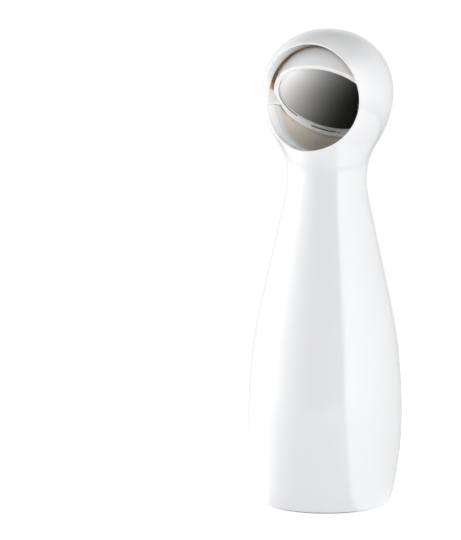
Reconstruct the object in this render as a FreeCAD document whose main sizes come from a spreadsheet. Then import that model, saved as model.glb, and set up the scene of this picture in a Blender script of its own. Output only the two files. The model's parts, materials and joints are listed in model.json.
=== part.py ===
import FreeCAD, Part
import math
import os
import Sketcher

# Automatic laser toy for cats: a skittle-shaped casing in two shells, a tilting round mirror in the
# head, and a motor-driven laser that nutates below it.  Millimetres, +Z up, the front faces -Y.
# The origin is the centre of the base, on the surface that the toy stands on.

doc = FreeCAD.newDocument("laser_toy")

# ---------------------------------------------------------------- driving sizes
SIZES = {
    # casing outline, from the top down
    "height": 228.0,
    "capRadius": 54.0,
    "headMargin": 7.5,
    "headDrop": 29.5,
    "cheekRadius": 44.0,
    "neckRadius": 19.1,
    "neckDrop": 70.5,
    "throatRadius": 46.0,
    "flankLean": 12.7,
    "bellyRadius": 37.4,
    "bellyLevel": 42.0,
    "baseRadius": 32.4,
    "skirtLevel": 1.0,
    "wall": 2.0,
    "splitDepth": 8.0,
    # head opening and its collar
    "openingMargin": 0.9,
    "openingDrop": 33.8,
    "collarWidth": 6.0,
    "collarDepth": 14.3,
    "recessDepth": 1.9,
    "collarGap": 0.3,
    # mirror: pivot, tilt from the vertical, glass and tray
    "pivotDepth": 0.8,
    "pivotDrop": 32.4,
    "mirrorTilt": 55.8,
    "pivotSetback": 1.4,
    "glassRadius": 23.9,
    "glassThick": 1.8,
    "glassGap": 0.4,
    "padThick": 0.6,
    "bezelWidth": 2.9,
    "flatMargin": 1.4,
    "trayFloor": 1.0,
    "trayRim": 0.5,
    "domeWall": 1.1,
    "spigotHeight": 1.2,
    "spigotGap": 0.25,
    "pinRadius": 1.5,
    "pinLength": 2.3,
    "lugGap": 0.6,
    "lugHeight": 6.4,
    "lugRear": 4.0,
    "washerRadius": 3.0,
    "washerThick": 0.5,
    # bowl behind the mirror
    "sweepGap": 0.45,
    "bowlThick": 0.9,
    "bowlFront": 5.2,
    "beamRadius": 9.0,
    "finGap": 0.3,
    "finThick": 1.6,
    "finSpacing": 8.0,
    # laser on its ball
    "ballDrop": 7.5,
    "ballRadius": 6.5,
    "ballGap": 0.15,
    "nutation": 6.0,
    "sleeveRadius": 4.7,
    "sleeveReach": 13.2,
    "barrelRadius": 3.25,
    "barrelBelow": 7.0,
    "barrelAbove": 9.0,
    "lensRadius": 2.2,
    "lensThick": 1.2,
    "tailRadius": 1.4,
    "tailReach": 23.6,
    "seatThick": 3.2,
    "seatRadius": 16.4,
    "seatCapRadius": 15.6,
    "seatCapThick": 3.6,
    "seatScrewSpacing": 12.9,
    # gear train
    "gearPlateDrop": 37.0,
    "gearPlateThick": 2.0,
    "gearPlateRadius": 24.7,
    "gearCoverRise": 13.8,
    "gearCoverThick": 1.6,
    "gearCoverRadius": 21.7,
    "plateScrewAngle": 8.0,
    "plateShelfDrop": 6.0,
    "plateRear": 9.6,
    "toothModule": 0.5,
    "orbitTeeth": 36,
    "wheelTeeth": 32,
    "pinionTeeth": 10,
    "meshGap": 0.05,
    "wheelThick": 2.4,
    "layerGap": 0.5,
    "orbitThick": 3.0,
    "orbitBossRadius": 5.5,
    "orbitBossRise": 6.8,
    "axleRadius": 0.9,
    "orbitAxleRadius": 1.25,
    "runningGap": 0.06,
    "gearPressGap": 0.02,
    "hubRadius": 1.6,
    "orbitHubRadius": 2.4,
    "pillarRadius": 2.2,
    "leftPillarX": -12.5,
    "leftPillarY": 3.0,
    "rightPillarX": 13.5,
    "rightPillarY": 6.5,
    "frontPillarX": -11.5,
    "frontPillarY": -13.5,
    "transferAngle": -30.0,
    "reductionAngle": -144.1,
    "motorAngle": 149.3,
    # motor
    "motorRadius": 10.0,
    "motorFlat": 7.5,
    "motorLength": 25.0,
    "motorCapThick": 2.4,
    "shaftRadius": 1.0,
    "noseRadius": 3.0,
    "noseHeight": 1.4,
    "canWall": 1.2,
    "armatureRadius": 6.2,
    "armatureLength": 15.0,
    "motorGap": 0.1,
    "motorSocketDepth": 6.0,
    "tabSpacing": 4.5,
    "tabWidth": 1.6,
    "tabThick": 0.4,
    "tabReach": 3.0,
    "leadRadius": 0.45,
    # circuit board, switch and button
    "boardFront": 11.0,
    "boardThick": 1.6,
    "boardWidth": 26.0,
    "boardDrop": 29.0,
    "boardRise": 17.0,
    "boardScrewInset": 3.0,
    "boardScrewLow": 4.0,
    "boardScrewHigh": 8.0,
    "boardScrewLength": 6.0,
    "chipWidth": 7.0,
    "chipHeight": 10.0,
    "chipThick": 1.6,
    "chipRise": 10.0,
    "capacitorRadius": 3.0,
    "capacitorLength": 7.0,
    "capacitorX": 8.0,
    "capacitorRise": 14.0,
    "buttonDrop": 1.0,
    "buttonRadius": 6.5,
    "buttonGap": 0.3,
    "buttonProud": 0.8,
    "buttonTravel": 0.6,
    "buttonFlange": 8.0,
    "flangeThick": 1.0,
    "switchSide": 6.0,
    "switchDepth": 3.6,
    "plungerRadius": 1.7,
    "plungerReach": 1.6,
    "stemGap": 0.1,
    "stemRadius": 2.0,
    "guideInner": 23.1,
    # power cells and their case
    "cellMargin": 2.72,
    "cellLength": 50.5,
    "cellHalfGap": 0.55,
    "cellGap": 0.2,
    "nubRadius": 2.75,
    "nubHeight": 1.3,
    "caseWall": 1.3,
    "caseTop": 2.0,
    "contactThick": 0.4,
    "contactRise": 2.6,
    "caseFlangeThick": 1.6,
    "caseEarMargin": 6.8,
    "caseScrewMargin": 9.4,
    "caseScrewLength": 3.9,
    # base
    "basePlateThick": 2.8,
    "basePlateGap": 0.35,
    "doorMargin": 11.4,
    "doorThick": 1.6,
    "doorGap": 0.25,
    "doorLedge": 2.3,
    "footMargin": 2.6,
    "footWidth": 2.5,
    "footSeat": 0.6,
    "baseScrewMargin": 8.2,
    "baseScrewAngle": 45.0,
    "gripMargin": 6.3,
    # screws
    "screwRadius": 1.1,
    "screwHeadRadius": 2.3,
    "screwHeadHeight": 1.5,
    "screwRimHeight": 0.9,
    "screwTopRadius": 1.6,
    "screwGap": 0.05,
    "bossRadius": 2.9,
    "webThick": 1.6,
    "neckScrewSpacing": 9.8,
    "neckScrewRise": 3.0,
    "bellyScrewMargin": 14.4,
    "bellyScrewLevel": 66.0,
    "bossHeight": 12.0,
    "bossFloor": 1.0,
    "plateScrewLength": 10.0,
    "coverScrewLength": 8.0,
    "baseScrewLength": 11.0,
    "doorScrewLength": 12.0,
    "seatScrewBite": 5.0,
    "casingScrewLength": 14.0,
    "screwWell": 4.0,
    "wellRadius": 2.7,
}

# ---------------------------------------------------------------- sizes that follow from them
FOLLOWING = {
    "headRadius": "glassRadius + headMargin",
    "headLevel": "height - headDrop",
    "neckLevel": "height - neckDrop",
    "flankRadius": "(cos(flankLean) * (neckRadius + throatRadius - bellyRadius)"
                   " + sin(flankLean) * (neckLevel - bellyLevel) - throatRadius) / (1 - cos(flankLean))",
    "openingRadius": "glassRadius + openingMargin",
    "openingLevel": "height - openingDrop",
    "pivotLevel": "height - pivotDrop",
    "trayRadius": "glassRadius + bezelWidth",
    "trayFlat": "glassRadius + flatMargin",
    "pinReach": "trayFlat + pinLength",
    "ballLevel": "neckLevel - ballDrop",
    "gearPlateLevel": "ballLevel - gearPlateDrop",
    "gearCoverLevel": "gearPlateLevel + gearCoverRise",
    "orbitBossTop": "gearCoverLevel + orbitBossRise",
    "boardBottom": "gearPlateLevel - boardDrop",
    "boardTop": "gearPlateLevel + boardRise",
    "chipLevel": "boardBottom + chipRise",
    "capacitorLevel": "boardBottom + capacitorRise",
    "buttonLevel": "gearPlateLevel - buttonDrop",
    "neckScrewLevel": "neckLevel + neckScrewRise",
    "bellyScrewSpacing": "bellyRadius - bellyScrewMargin",
    "doorRadius": "baseRadius - doorMargin",
    "cellRadius": "(doorRadius - cellMargin - sqrt(2) * cellHalfGap) / (1 + sqrt(2))",
    "cellSpacing": "cellRadius + cellHalfGap",
    "baseHoleRadius": "doorRadius - doorLedge",
    "footOuter": "baseRadius - footMargin",
    "footInner": "footOuter - footWidth",
    "baseScrewRadius": "baseRadius - baseScrewMargin",
    "caseEarReach": "baseRadius - caseEarMargin",
    "caseScrewX": "baseRadius - caseScrewMargin",
    "gripReach": "doorRadius - gripMargin",
}


class Size:
    """A number together with the spreadsheet expression that gives it."""

    def __init__(self, value, text):
        self.value = float(value)
        self.text = text

    def __add__(self, other):
        other = asSize(other)
        return Size(self.value + other.value, "(%s + %s)" % (self.text, other.text))

    def __sub__(self, other):
        other = asSize(other)
        return Size(self.value - other.value, "(%s - %s)" % (self.text, other.text))

    def __mul__(self, other):
        other = asSize(other)
        return Size(self.value * other.value, "(%s * %s)" % (self.text, other.text))

    def __truediv__(self, other):
        other = asSize(other)
        return Size(self.value / other.value, "(%s / %s)" % (self.text, other.text))

    def __radd__(self, other):
        return asSize(other) + self

    def __rsub__(self, other):
        return asSize(other) - self

    def __rmul__(self, other):
        return asSize(other) * self

    def __rtruediv__(self, other):
        return asSize(other) / self

    def __neg__(self):
        return asSize(0) - self


def asSize(number):
    if isinstance(number, Size):
        return number
    return Size(number, "(%r)" % float(number))


def root(size):
    return Size(math.sqrt(size.value), "sqrt(%s)" % size.text)


def cosine(degrees):
    degrees = asSize(degrees)
    return Size(math.cos(math.radians(degrees.value)), "cos(%s)" % degrees.text)


def sine(degrees):
    degrees = asSize(degrees)
    return Size(math.sin(math.radians(degrees.value)), "sin(%s)" % degrees.text)


class Sheet:
    """The sizes as attributes, each bound to its cell."""

    def __init__(self, driving, following):
        self.object = doc.addObject("Spreadsheet::Sheet", "Sizes")
        cells = {alias: str(value) for alias, value in driving.items()}
        cells.update({alias: "=" + rule for alias, rule in following.items()})
        for row, (alias, content) in enumerate(cells.items(), start=1):
            self.object.set("A%d" % row, alias)
            self.object.set("B%d" % row, content)
            self.object.setAlias("B%d" % row, alias)
        doc.recompute()
        self.values = {alias: float(self.object.get(alias)) for alias in cells}
        for alias, value in self.values.items():
            setattr(self, alias, Size(value, "Sizes." + alias))


s = Sheet(SIZES, FOLLOWING)
nodes = []
zero = asSize(0)


# ---------------------------------------------------------------- helpers
def bind(thing, path, size):
    thing.setExpression(path, asSize(size).text)


def place(thing, x=0, y=0, z=0):
    """Moves an object to a bound place."""
    for letter, size in zip("xyz", (x, y, z)):
        size = asSize(size)
        thing.setExpression("Placement.Base." + letter, size.text)
    return thing


ALONG = {
    "X": FreeCAD.Rotation(FreeCAD.Vector(0, 1, 0), 90),
    "Y": FreeCAD.Rotation(FreeCAD.Vector(1, 0, 0), -90),
    "Z": FreeCAD.Rotation(),
}


def cylinder(name, radius, length, x=0, y=0, z=0, along="Z"):
    rod = doc.addObject("Part::Cylinder", name)
    bind(rod, "Radius", radius)
    bind(rod, "Height", length)
    rod.Placement = FreeCAD.Placement(FreeCAD.Vector(), ALONG[along])
    return place(rod, x, y, z)


def ball(name, radius, x=0, y=0, z=0):
    sphere = doc.addObject("Part::Sphere", name)
    bind(sphere, "Radius", radius)
    return place(sphere, x, y, z)


def box(name, xs, ys, zs):
    """A block between two bounds on each axis."""
    block = doc.addObject("Part::Box", name)
    for side, (low, high) in zip(("Length", "Width", "Height"), (xs, ys, zs)):
        bind(block, side, asSize(high) - low)
    return place(block, xs[0], ys[0], zs[0])


def cut(name, base, tool):
    result = doc.addObject("Part::Cut", name)
    result.Base = base
    result.Tool = tool
    return result


def fuse(name, shapes):
    result = doc.addObject("Part::MultiFuse", name)
    result.Shapes = shapes
    result.Refine = False
    return result


def common(name, shapes):
    result = doc.addObject("Part::MultiCommon", name)
    result.Shapes = shapes
    return result


def group(name, shapes):
    result = doc.addObject("Part::Compound", name)
    result.Links = shapes
    return result


def node(name, thing):
    """Registers a finished sub-part under the name of its file."""
    thing.Label = name
    nodes.append(thing)
    return thing


def newBody(name):
    return doc.addObject("PartDesign::Body", name)


def originPlane(body, role):
    for feature in body.Origin.OriginFeatures:
        if feature.Role == role:
            return feature
    raise RuntimeError("no plane " + role)


def newSketch(body, role, name, lift=None):
    """A sketch on one of the body's own origin planes, lifted along the plane's normal."""
    sketch = body.newObject("Sketcher::SketchObject", name)
    sketch.AttachmentSupport = [(originPlane(body, role), "")]
    sketch.MapMode = "FlatFace"
    if lift is not None:
        bind(sketch, "AttachmentOffset.Base.z", lift)
    return sketch


def hold(sketch, kind, arguments, size):
    """Adds one dimension to a sketch and binds it."""
    index = sketch.addConstraint(Sketcher.Constraint(kind, *arguments, size.value))
    bind(sketch, "Constraints[%d]" % index, size)


def pin(sketch, geometry, point, x, y):
    """Fixes a point of a sketch at bound coordinates."""
    for kind, axis, size in (("DistanceX", -2, x), ("DistanceY", -1, y)):
        size = asSize(size)
        if size.value == 0:
            sketch.addConstraint(Sketcher.Constraint("PointOnObject", geometry, point, axis))
        else:
            hold(sketch, kind, (-1, 1, geometry, point), size)


def polygon(sketch, corners):
    """A closed outline of straight lines through bound corners."""
    first = sketch.GeometryCount
    corners = [(asSize(x), asSize(y)) for x, y in corners]
    count = len(corners)
    for index in range(count):
        start = corners[index]
        end = corners[(index + 1) % count]
        sketch.addGeometry(Part.LineSegment(FreeCAD.Vector(start[0].value, start[1].value),
                                            FreeCAD.Vector(end[0].value, end[1].value)), False)
    for index in range(count):
        following = first + (index + 1) % count
        sketch.addConstraint(Sketcher.Constraint("Coincident", first + index, 2, following, 1))
        pin(sketch, first + index, 1, *corners[index])


def circle(sketch, radius, x=0, y=0):
    radius = asSize(radius)
    x = asSize(x)
    y = asSize(y)
    centre = FreeCAD.Vector(x.value, y.value)
    index = sketch.addGeometry(Part.Circle(centre, FreeCAD.Vector(0, 0, 1), radius.value), False)
    hold(sketch, "Radius", (index,), radius)
    pin(sketch, index, 3, x, y)


def pad(body, sketch, name, length):
    feature = body.newObject("PartDesign::Pad", name)
    feature.Profile = sketch
    bind(feature, "Length", length)
    return feature


def pocket(body, sketch, name, length, reverse=False):
    feature = body.newObject("PartDesign::Pocket", name)
    feature.Profile = sketch
    feature.Reversed = reverse
    bind(feature, "Length", length)
    return feature


def revolve(body, sketch, name, kind="PartDesign::Revolution"):
    feature = body.newObject(kind, name)
    feature.Profile = sketch
    feature.ReferenceAxis = (sketch, ["V_Axis"])
    feature.Angle = 360.0
    return feature


def turned(name, outline):
    """A body of revolution about its Z axis from (radius, level) corners."""
    body = newBody(name)
    sketch = newSketch(body, "XZ_Plane", name + "_outline")
    polygon(sketch, outline)
    revolve(body, sketch, name + "_turn")
    return body


sideways = FreeCAD.Vector(1, 0, 0)


def screw(name, length, x, y, z, axis=sideways, degrees=0):
    """A pan-head screw whose head sits on its place and whose shank points down before turning."""
    tip = s.screwRadius
    body = turned(name, [(0, -length), (s.screwRadius, tip - length), (s.screwRadius, 0),
                         (s.screwHeadRadius, 0), (s.screwHeadRadius, s.screwRimHeight),
                         (s.screwTopRadius, s.screwHeadHeight), (0, s.screwHeadHeight)])
    body.Placement = FreeCAD.Placement(FreeCAD.Vector(), FreeCAD.Rotation(axis, degrees))
    return place(body, x, y, z)


# ---------------------------------------------------------------- casing outline
def outlinePoints(offset):
    """Centres and tangent points of the casing's half outline, drawn inwards by the offset."""
    v = s.values
    drop = v["headLevel"] - v["height"] + v["capRadius"]
    brow = (v["capRadius"] ** 2 - v["headRadius"] ** 2 - drop ** 2) / (2 * (v["capRadius"] - v["headRadius"]))
    capCentre = FreeCAD.Vector(0, v["height"] - v["capRadius"])
    browCentre = FreeCAD.Vector(v["headRadius"] - brow, v["headLevel"])
    cheekCentre = FreeCAD.Vector(v["headRadius"] - v["cheekRadius"], v["headLevel"])
    across = v["neckRadius"] - cheekCentre.x
    down = v["neckLevel"] - v["headLevel"]
    nape = (across ** 2 + down ** 2 - v["cheekRadius"] ** 2) / (2 * (v["cheekRadius"] - across))
    napeCentre = FreeCAD.Vector(v["neckRadius"] + nape, v["neckLevel"])
    throatCentre = FreeCAD.Vector(v["neckRadius"] + v["throatRadius"], v["neckLevel"])
    flankCentre = FreeCAD.Vector(v["bellyRadius"] - v["flankRadius"], v["bellyLevel"])
    stance = v["bellyRadius"] - v["baseRadius"]
    rise = v["bellyLevel"] - v["skirtLevel"]
    skirt = (stance ** 2 + rise ** 2) / (2 * stance)
    skirtCentre = FreeCAD.Vector(v["bellyRadius"] - skirt, v["bellyLevel"])
    lean = math.radians(v["flankLean"])
    outward = FreeCAD.Vector(math.cos(lean), math.sin(lean))
    browWay = (browCentre - capCentre).normalize()
    napeWay = (napeCentre - cheekCentre).normalize()
    skirtArc = skirt - offset
    foot = skirtCentre.x + math.sqrt(skirtArc ** 2 - rise ** 2)
    return {
        "arcs": [
            (capCentre, v["capRadius"] - offset), (browCentre, brow - offset),
            (cheekCentre, v["cheekRadius"] - offset), (napeCentre, nape + offset),
            (throatCentre, v["throatRadius"] + offset), (flankCentre, v["flankRadius"] - offset),
            (skirtCentre, skirtArc),
        ],
        "top": FreeCAD.Vector(0, v["height"] - offset),
        "brow": capCentre + browWay * (v["capRadius"] - offset),
        "head": FreeCAD.Vector(v["headRadius"] - offset, v["headLevel"]),
        "cheek": cheekCentre + napeWay * (v["cheekRadius"] - offset),
        "neck": FreeCAD.Vector(v["neckRadius"] - offset, v["neckLevel"]),
        "throat": throatCentre - outward * (v["throatRadius"] + offset),
        "flank": flankCentre + outward * (v["flankRadius"] - offset),
        "belly": FreeCAD.Vector(v["bellyRadius"] - offset, v["bellyLevel"]),
        "foot": FreeCAD.Vector(foot, v["skirtLevel"]),
    }


def arcBetween(centre, radius, start, end):
    """The short arc about a centre between two points, and whether it starts at the first one."""
    first = math.atan2(start.y - centre.y, start.x - centre.x)
    last = math.atan2(end.y - centre.y, end.x - centre.x)
    if first < 0 and last > math.pi / 2:
        first += 2 * math.pi
    if last < 0 and first > math.pi / 2:
        last += 2 * math.pi
    round_ = Part.Circle(centre, FreeCAD.Vector(0, 0, 1), radius)
    if first < last:
        return Part.ArcOfCircle(round_, first, last), True
    return Part.ArcOfCircle(round_, last, first), False


def casingForm(name, offset):
    """The solid inside the casing's outline, drawn inwards by the offset."""
    offset = asSize(offset)
    points = outlinePoints(offset.value)
    body = newBody(name)
    sketch = newSketch(body, "XZ_Plane", name + "_outline")
    order = ["top", "brow", "head", "cheek", "neck", "throat", "flank", "belly", "foot"]
    arcs = list(points["arcs"])
    ends = []
    for start, end in zip(order, order[1:]):
        if start == "throat":
            line = Part.LineSegment(points[start], points[end])
            ends.append((sketch.addGeometry(line, False), 1, 2, None))
            continue
        centre, radius = arcs.pop(0)
        arc, forward = arcBetween(centre, radius, points[start], points[end])
        first, last = (1, 2) if forward else (2, 1)
        ends.append((sketch.addGeometry(arc, False), first, last, start))
    floor = sketch.addGeometry(Part.LineSegment(points["foot"], FreeCAD.Vector(0, points["foot"].y)), False)
    axis = sketch.addGeometry(Part.LineSegment(FreeCAD.Vector(0, points["foot"].y), points["top"]), False)
    for before, after in zip(ends, ends[1:]):
        sketch.addConstraint(Sketcher.Constraint("Tangent", before[0], before[2], after[0], after[1]))
    sketch.addConstraint(Sketcher.Constraint("Coincident", ends[-1][0], ends[-1][2], floor, 1))
    sketch.addConstraint(Sketcher.Constraint("Coincident", floor, 2, axis, 1))
    sketch.addConstraint(Sketcher.Constraint("Coincident", axis, 2, ends[0][0], ends[0][1]))
    sketch.addConstraint(Sketcher.Constraint("Horizontal", floor))
    sketch.addConstraint(Sketcher.Constraint("PointOnObject", floor, 2, -2))
    cap, brow, cheek, nape, throat, line, flank, skirt = [item[0] for item in ends]
    stance = s.bellyRadius - s.baseRadius
    rise = s.bellyLevel - s.skirtLevel
    skirtRadius = (stance * stance + rise * rise) / (2 * stance)
    sketch.addConstraint(Sketcher.Constraint("PointOnObject", cap, 3, -2))
    sketch.addConstraint(Sketcher.Constraint("PointOnObject", ends[0][0], ends[0][1], -2))
    hold(sketch, "DistanceY", (-1, 1, ends[0][0], ends[0][1]), s.height - offset)
    hold(sketch, "Radius", (cap,), s.capRadius - offset)
    pin(sketch, brow, ends[1][2], s.headRadius - offset, s.headLevel)
    hold(sketch, "DistanceY", (-1, 1, brow, 3), s.headLevel)
    hold(sketch, "Radius", (cheek,), s.cheekRadius - offset)
    pin(sketch, nape, ends[3][2], s.neckRadius - offset, s.neckLevel)
    hold(sketch, "DistanceY", (-1, 1, nape, 3), s.neckLevel)
    hold(sketch, "Radius", (throat,), s.throatRadius + offset)
    hold(sketch, "Radius", (flank,), s.flankRadius - offset)
    pin(sketch, flank, ends[6][2], s.bellyRadius - offset, s.bellyLevel)
    hold(sketch, "DistanceY", (-1, 1, flank, 3), s.bellyLevel)
    hold(sketch, "Radius", (skirt,), skirtRadius - offset)
    hold(sketch, "DistanceY", (-1, 1, ends[-1][0], ends[-1][2]), s.skirtLevel)
    revolve(body, sketch, name + "_turn")
    return body


# ---------------------------------------------------------------- shared places
far = s.height                                  # longer than any cut through the casing
tilt = s.mirrorTilt + 90                        # turn about X that faces the glass forwards and down
transferArm = (s.orbitTeeth + s.pinionTeeth) * s.toothModule / 2 + s.meshGap
gearArm = (s.wheelTeeth + s.pinionTeeth) * s.toothModule / 2 + s.meshGap


def polar(radius, degrees):
    return radius * cosine(degrees), radius * sine(degrees)


lugHalf = s.lugHeight / 2
bowlInner = s.trayRadius + s.sweepGap
bowlOuter = bowlInner + s.bowlThick
basePlateTop = s.skirtLevel + s.basePlateThick
doorTop = s.skirtLevel + s.doorThick
cellBottom = doorTop + s.contactThick + s.contactRise
cellTop = cellBottom + s.cellLength
caseRoof = cellTop + s.contactThick
seatBottom = s.ballLevel - s.seatThick - s.layerGap
finLow = s.neckLevel + s.neckRadius / 4
boardRear = s.boardFront + s.boardThick
switchRear = boardRear + s.switchDepth
stemEnd = switchRear + s.plungerReach + s.stemGap


# ---------------------------------------------------------------- casing shells
def casingBosses():
    """Screw places of the casing's four rear screws: name, x and level."""
    return [
        ("neck_left", -s.neckScrewSpacing, s.neckScrewLevel),
        ("neck_right", s.neckScrewSpacing, s.neckScrewLevel),
        ("belly_left", -s.bellyScrewSpacing, s.bellyScrewLevel),
        ("belly_right", s.bellyScrewSpacing, s.bellyScrewLevel),
    ]


def baseScrewPlaces(front):
    """The base screws of one shell: name, x and y."""
    x, reach = polar(s.baseScrewRadius, s.baseScrewAngle)
    y = -reach if front else reach
    side = "front" if front else "rear"
    return [(side + "_left", -x, y), (side + "_right", x, y)]


def inOrder(first, second):
    return sorted((asSize(first), asSize(second)), key=lambda size: size.value)


def uprightBoss(name, x, y, bottom, top, wallX, wallY):
    """A screw boss along Z with a web that ties it to the casing's wall."""
    post = cylinder(name + "_post", s.bossRadius, top - bottom, x, y, bottom)
    half = s.webThick / 2
    if wallX is None:
        web = box(name + "_web", (x - half, x + half), inOrder(y, wallY), (bottom, top))
    else:
        web = box(name + "_web", inOrder(x, wallX), (y - half, y + half), (bottom, top))
    return [post, web]


def bowlFins(side, ys, zs):
    """Two ribs on a shell that back the bowl."""
    fins = []
    for name, x in (("left", -s.finSpacing), ("right", s.finSpacing)):
        fins.append(box("fin_%s_%s" % (side, name), (x - s.finThick / 2, x + s.finThick / 2), ys, zs))
    clearance = pivotBall("fin_room_" + side, bowlOuter + s.finGap)
    return cut("fins_" + side, fuse("fin_pair_" + side, fins), clearance)


def shellFrom(name, attachments, core, skin, half, holes):
    """One shell: its half of the skin with what stands on its inner wall, less its holes."""
    inside = common(name + "_inside", [fuse(name + "_stand", attachments), core])
    whole = fuse(name + "_whole", [skin, inside])
    sided = common(name + "_side", [whole, half])
    return cut(name + "_cut", sided, fuse(name + "_holes", holes))


def screwHole(name, x, y, z, length, along="Z"):
    return cylinder(name, s.screwRadius + s.screwGap, length, x, y, z, along)


def gearPlateScrews():
    x, y = polar(s.gearPlateRadius - s.bossRadius - s.webThick, s.plateScrewAngle)
    return [("left", -x, y), ("right", x, y)]


def frontShell(skin, core):
    opening = cylinder("opening", s.openingRadius, far, 0, -far, s.openingLevel, "Y")
    outside = s.openingRadius + s.collarWidth
    depth = far - s.bowlFront - s.collarGap
    block = cylinder("collar_block", outside, depth, 0, -far, s.openingLevel, "Y")
    wide = s.openingRadius + s.recessDepth
    recess = cylinder("collar_recess", wide, far, 0, -s.collarDepth, s.openingLevel, "Y")
    sweep = pivotBall("collar_sweep", bowlInner)
    collar = cut("collar", block, fuse("collar_room", [recess, sweep]))
    stand = [collar, bowlFins("front", (-s.neckRadius, s.splitDepth), (finLow, finLow + s.finSpacing * 2))]
    holes = [opening]
    inner = s.trayFlat + s.lugGap
    for side, sign in (("left", -1), ("right", 1)):
        xs = (inner, s.headRadius) if sign > 0 else (-s.headRadius, -inner)
        stand.append(box("lug_" + side, xs, (-s.collarDepth, s.lugRear),
                         (s.pivotLevel - lugHalf, s.pivotLevel + lugHalf)))
    holes.append(cylinder("lug_bore", s.pinRadius + s.runningGap, s.pinReach * 2 + s.runningGap * 4,
                          -s.pinReach - s.runningGap * 2, s.pivotDepth, s.pivotLevel, "X"))
    for name, x, z in casingBosses():
        stand.append(cylinder("front_boss_" + name, s.bossRadius, far + s.splitDepth, x, -far, z, "Y"))
        depth = s.casingScrewLength
        holes.append(screwHole("front_hole_" + name, x, s.splitDepth - depth, z, depth * 2, "Y"))
    for name, x, y in gearPlateScrews():
        wallX = s.bellyRadius if x.value > 0 else -s.bellyRadius
        foot = s.gearPlateLevel - s.bossHeight
        stand += uprightBoss("plate_boss_" + name, x, y, foot, s.gearPlateLevel, wallX, None)
        holes.append(screwHole("plate_hole_" + name, x, y, foot + s.bossFloor, s.bossHeight - s.bossFloor))
    shelf = (-s.webThick, s.webThick)
    stand.append(box("plate_shelf", shelf, (-s.bellyRadius, s.bossRadius - s.gearPlateRadius),
                     (s.gearPlateLevel - s.plateShelfDrop, s.gearPlateLevel)))
    for name, x in (("left", -s.seatScrewSpacing), ("right", s.seatScrewSpacing)):
        wallX = s.neckRadius if x.value > 0 else -s.neckRadius
        depth = s.seatScrewBite + s.bossFloor
        foot = seatBottom - depth - s.bossFloor
        stand += uprightBoss("seat_boss_" + name, x, zero, foot, seatBottom, wallX, None)
        holes.append(screwHole("seat_hole_" + name, x, zero, seatBottom - depth, depth))
    stand.append(box("seat_shelf", shelf, (-s.bellyRadius, s.bossRadius - s.seatRadius),
                     (seatBottom - s.plateShelfDrop, seatBottom)))
    for name, x, y in baseScrewPlaces(True):
        stand += uprightBoss("base_boss_" + name, x, y, basePlateTop, basePlateTop + s.bossHeight, None,
                             -s.bellyRadius)
        holes.append(screwHole("base_hole_" + name, x, y, basePlateTop, s.baseScrewLength))
    half = box("front_half", (-far, far), (-far, s.splitDepth), (0, far))
    return node("front_shell", shellFrom("front_shell", stand, core, skin, half, holes))


def boardScrewPlaces():
    inset = s.boardWidth / 2 - s.boardScrewInset
    low = s.boardBottom + s.boardScrewLow
    high = s.boardTop - s.boardScrewHigh
    return [("low_left", -inset, low), ("low_right", inset, low), ("high_left", -inset, high),
            ("high_right", inset, high)]


def rearShell(skin, core):
    stand = [bowlFins("rear", (s.splitDepth, s.neckRadius * 2), (finLow, s.pivotLevel))]
    holes = []
    for name, x, z in casingBosses():
        stand.append(cylinder("rear_boss_" + name, s.wellRadius + s.webThick, far, x, s.splitDepth, z, "Y"))
        holes.append(screwHole("rear_hole_" + name, x, zero, z, far, "Y"))
        holes.append(cylinder("well_" + name, s.wellRadius, far, x, s.splitDepth + s.screwWell, z, "Y"))
    for name, x, z in boardScrewPlaces():
        stand.append(cylinder("board_post_" + name, s.bossRadius, far, x, boardRear, z, "Y"))
        holes.append(screwHole("board_hole_" + name, x, boardRear, z, s.boardScrewLength - s.bossFloor, "Y"))
    guide = s.buttonRadius + s.buttonGap + s.webThick
    stand.append(cylinder("button_guide", guide, far, 0, s.guideInner, s.buttonLevel, "Y"))
    room = s.buttonRadius + s.buttonGap
    holes.append(cylinder("button_hole", room, far, 0, s.splitDepth, s.buttonLevel, "Y"))
    for name, x, y in baseScrewPlaces(False):
        stand += uprightBoss("base_boss_" + name, x, y, basePlateTop, basePlateTop + s.bossHeight, None,
                             s.bellyRadius)
        holes.append(screwHole("base_hole_" + name, x, y, basePlateTop, s.baseScrewLength))
    half = box("rear_half", (-far, far), (s.splitDepth, far), (0, far))
    return node("rear_shell", shellFrom("rear_shell", stand, core, skin, half, holes))


def casingScrews():
    screws = []
    for name, x, z in casingBosses():
        screws.append(screw("casing_screw_" + name, s.casingScrewLength, x, s.splitDepth + s.screwWell, z,
                            sideways, -90))
    return node("casing_screws", group("casing_screw_set", screws))


# ---------------------------------------------------------------- mirror
def tiltedPart(body):
    """Lays a mirror part, drawn flat with its face up, into the mirror's plane on the pivot."""
    back = s.pivotSetback
    body.Placement = FreeCAD.Placement(FreeCAD.Vector(), FreeCAD.Rotation(sideways, tilt.value))
    bind(body, "Placement.Rotation.Angle", tilt)
    return place(body, 0, s.pivotDepth - back * sine(tilt), s.pivotLevel + back * cosine(tilt))


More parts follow.
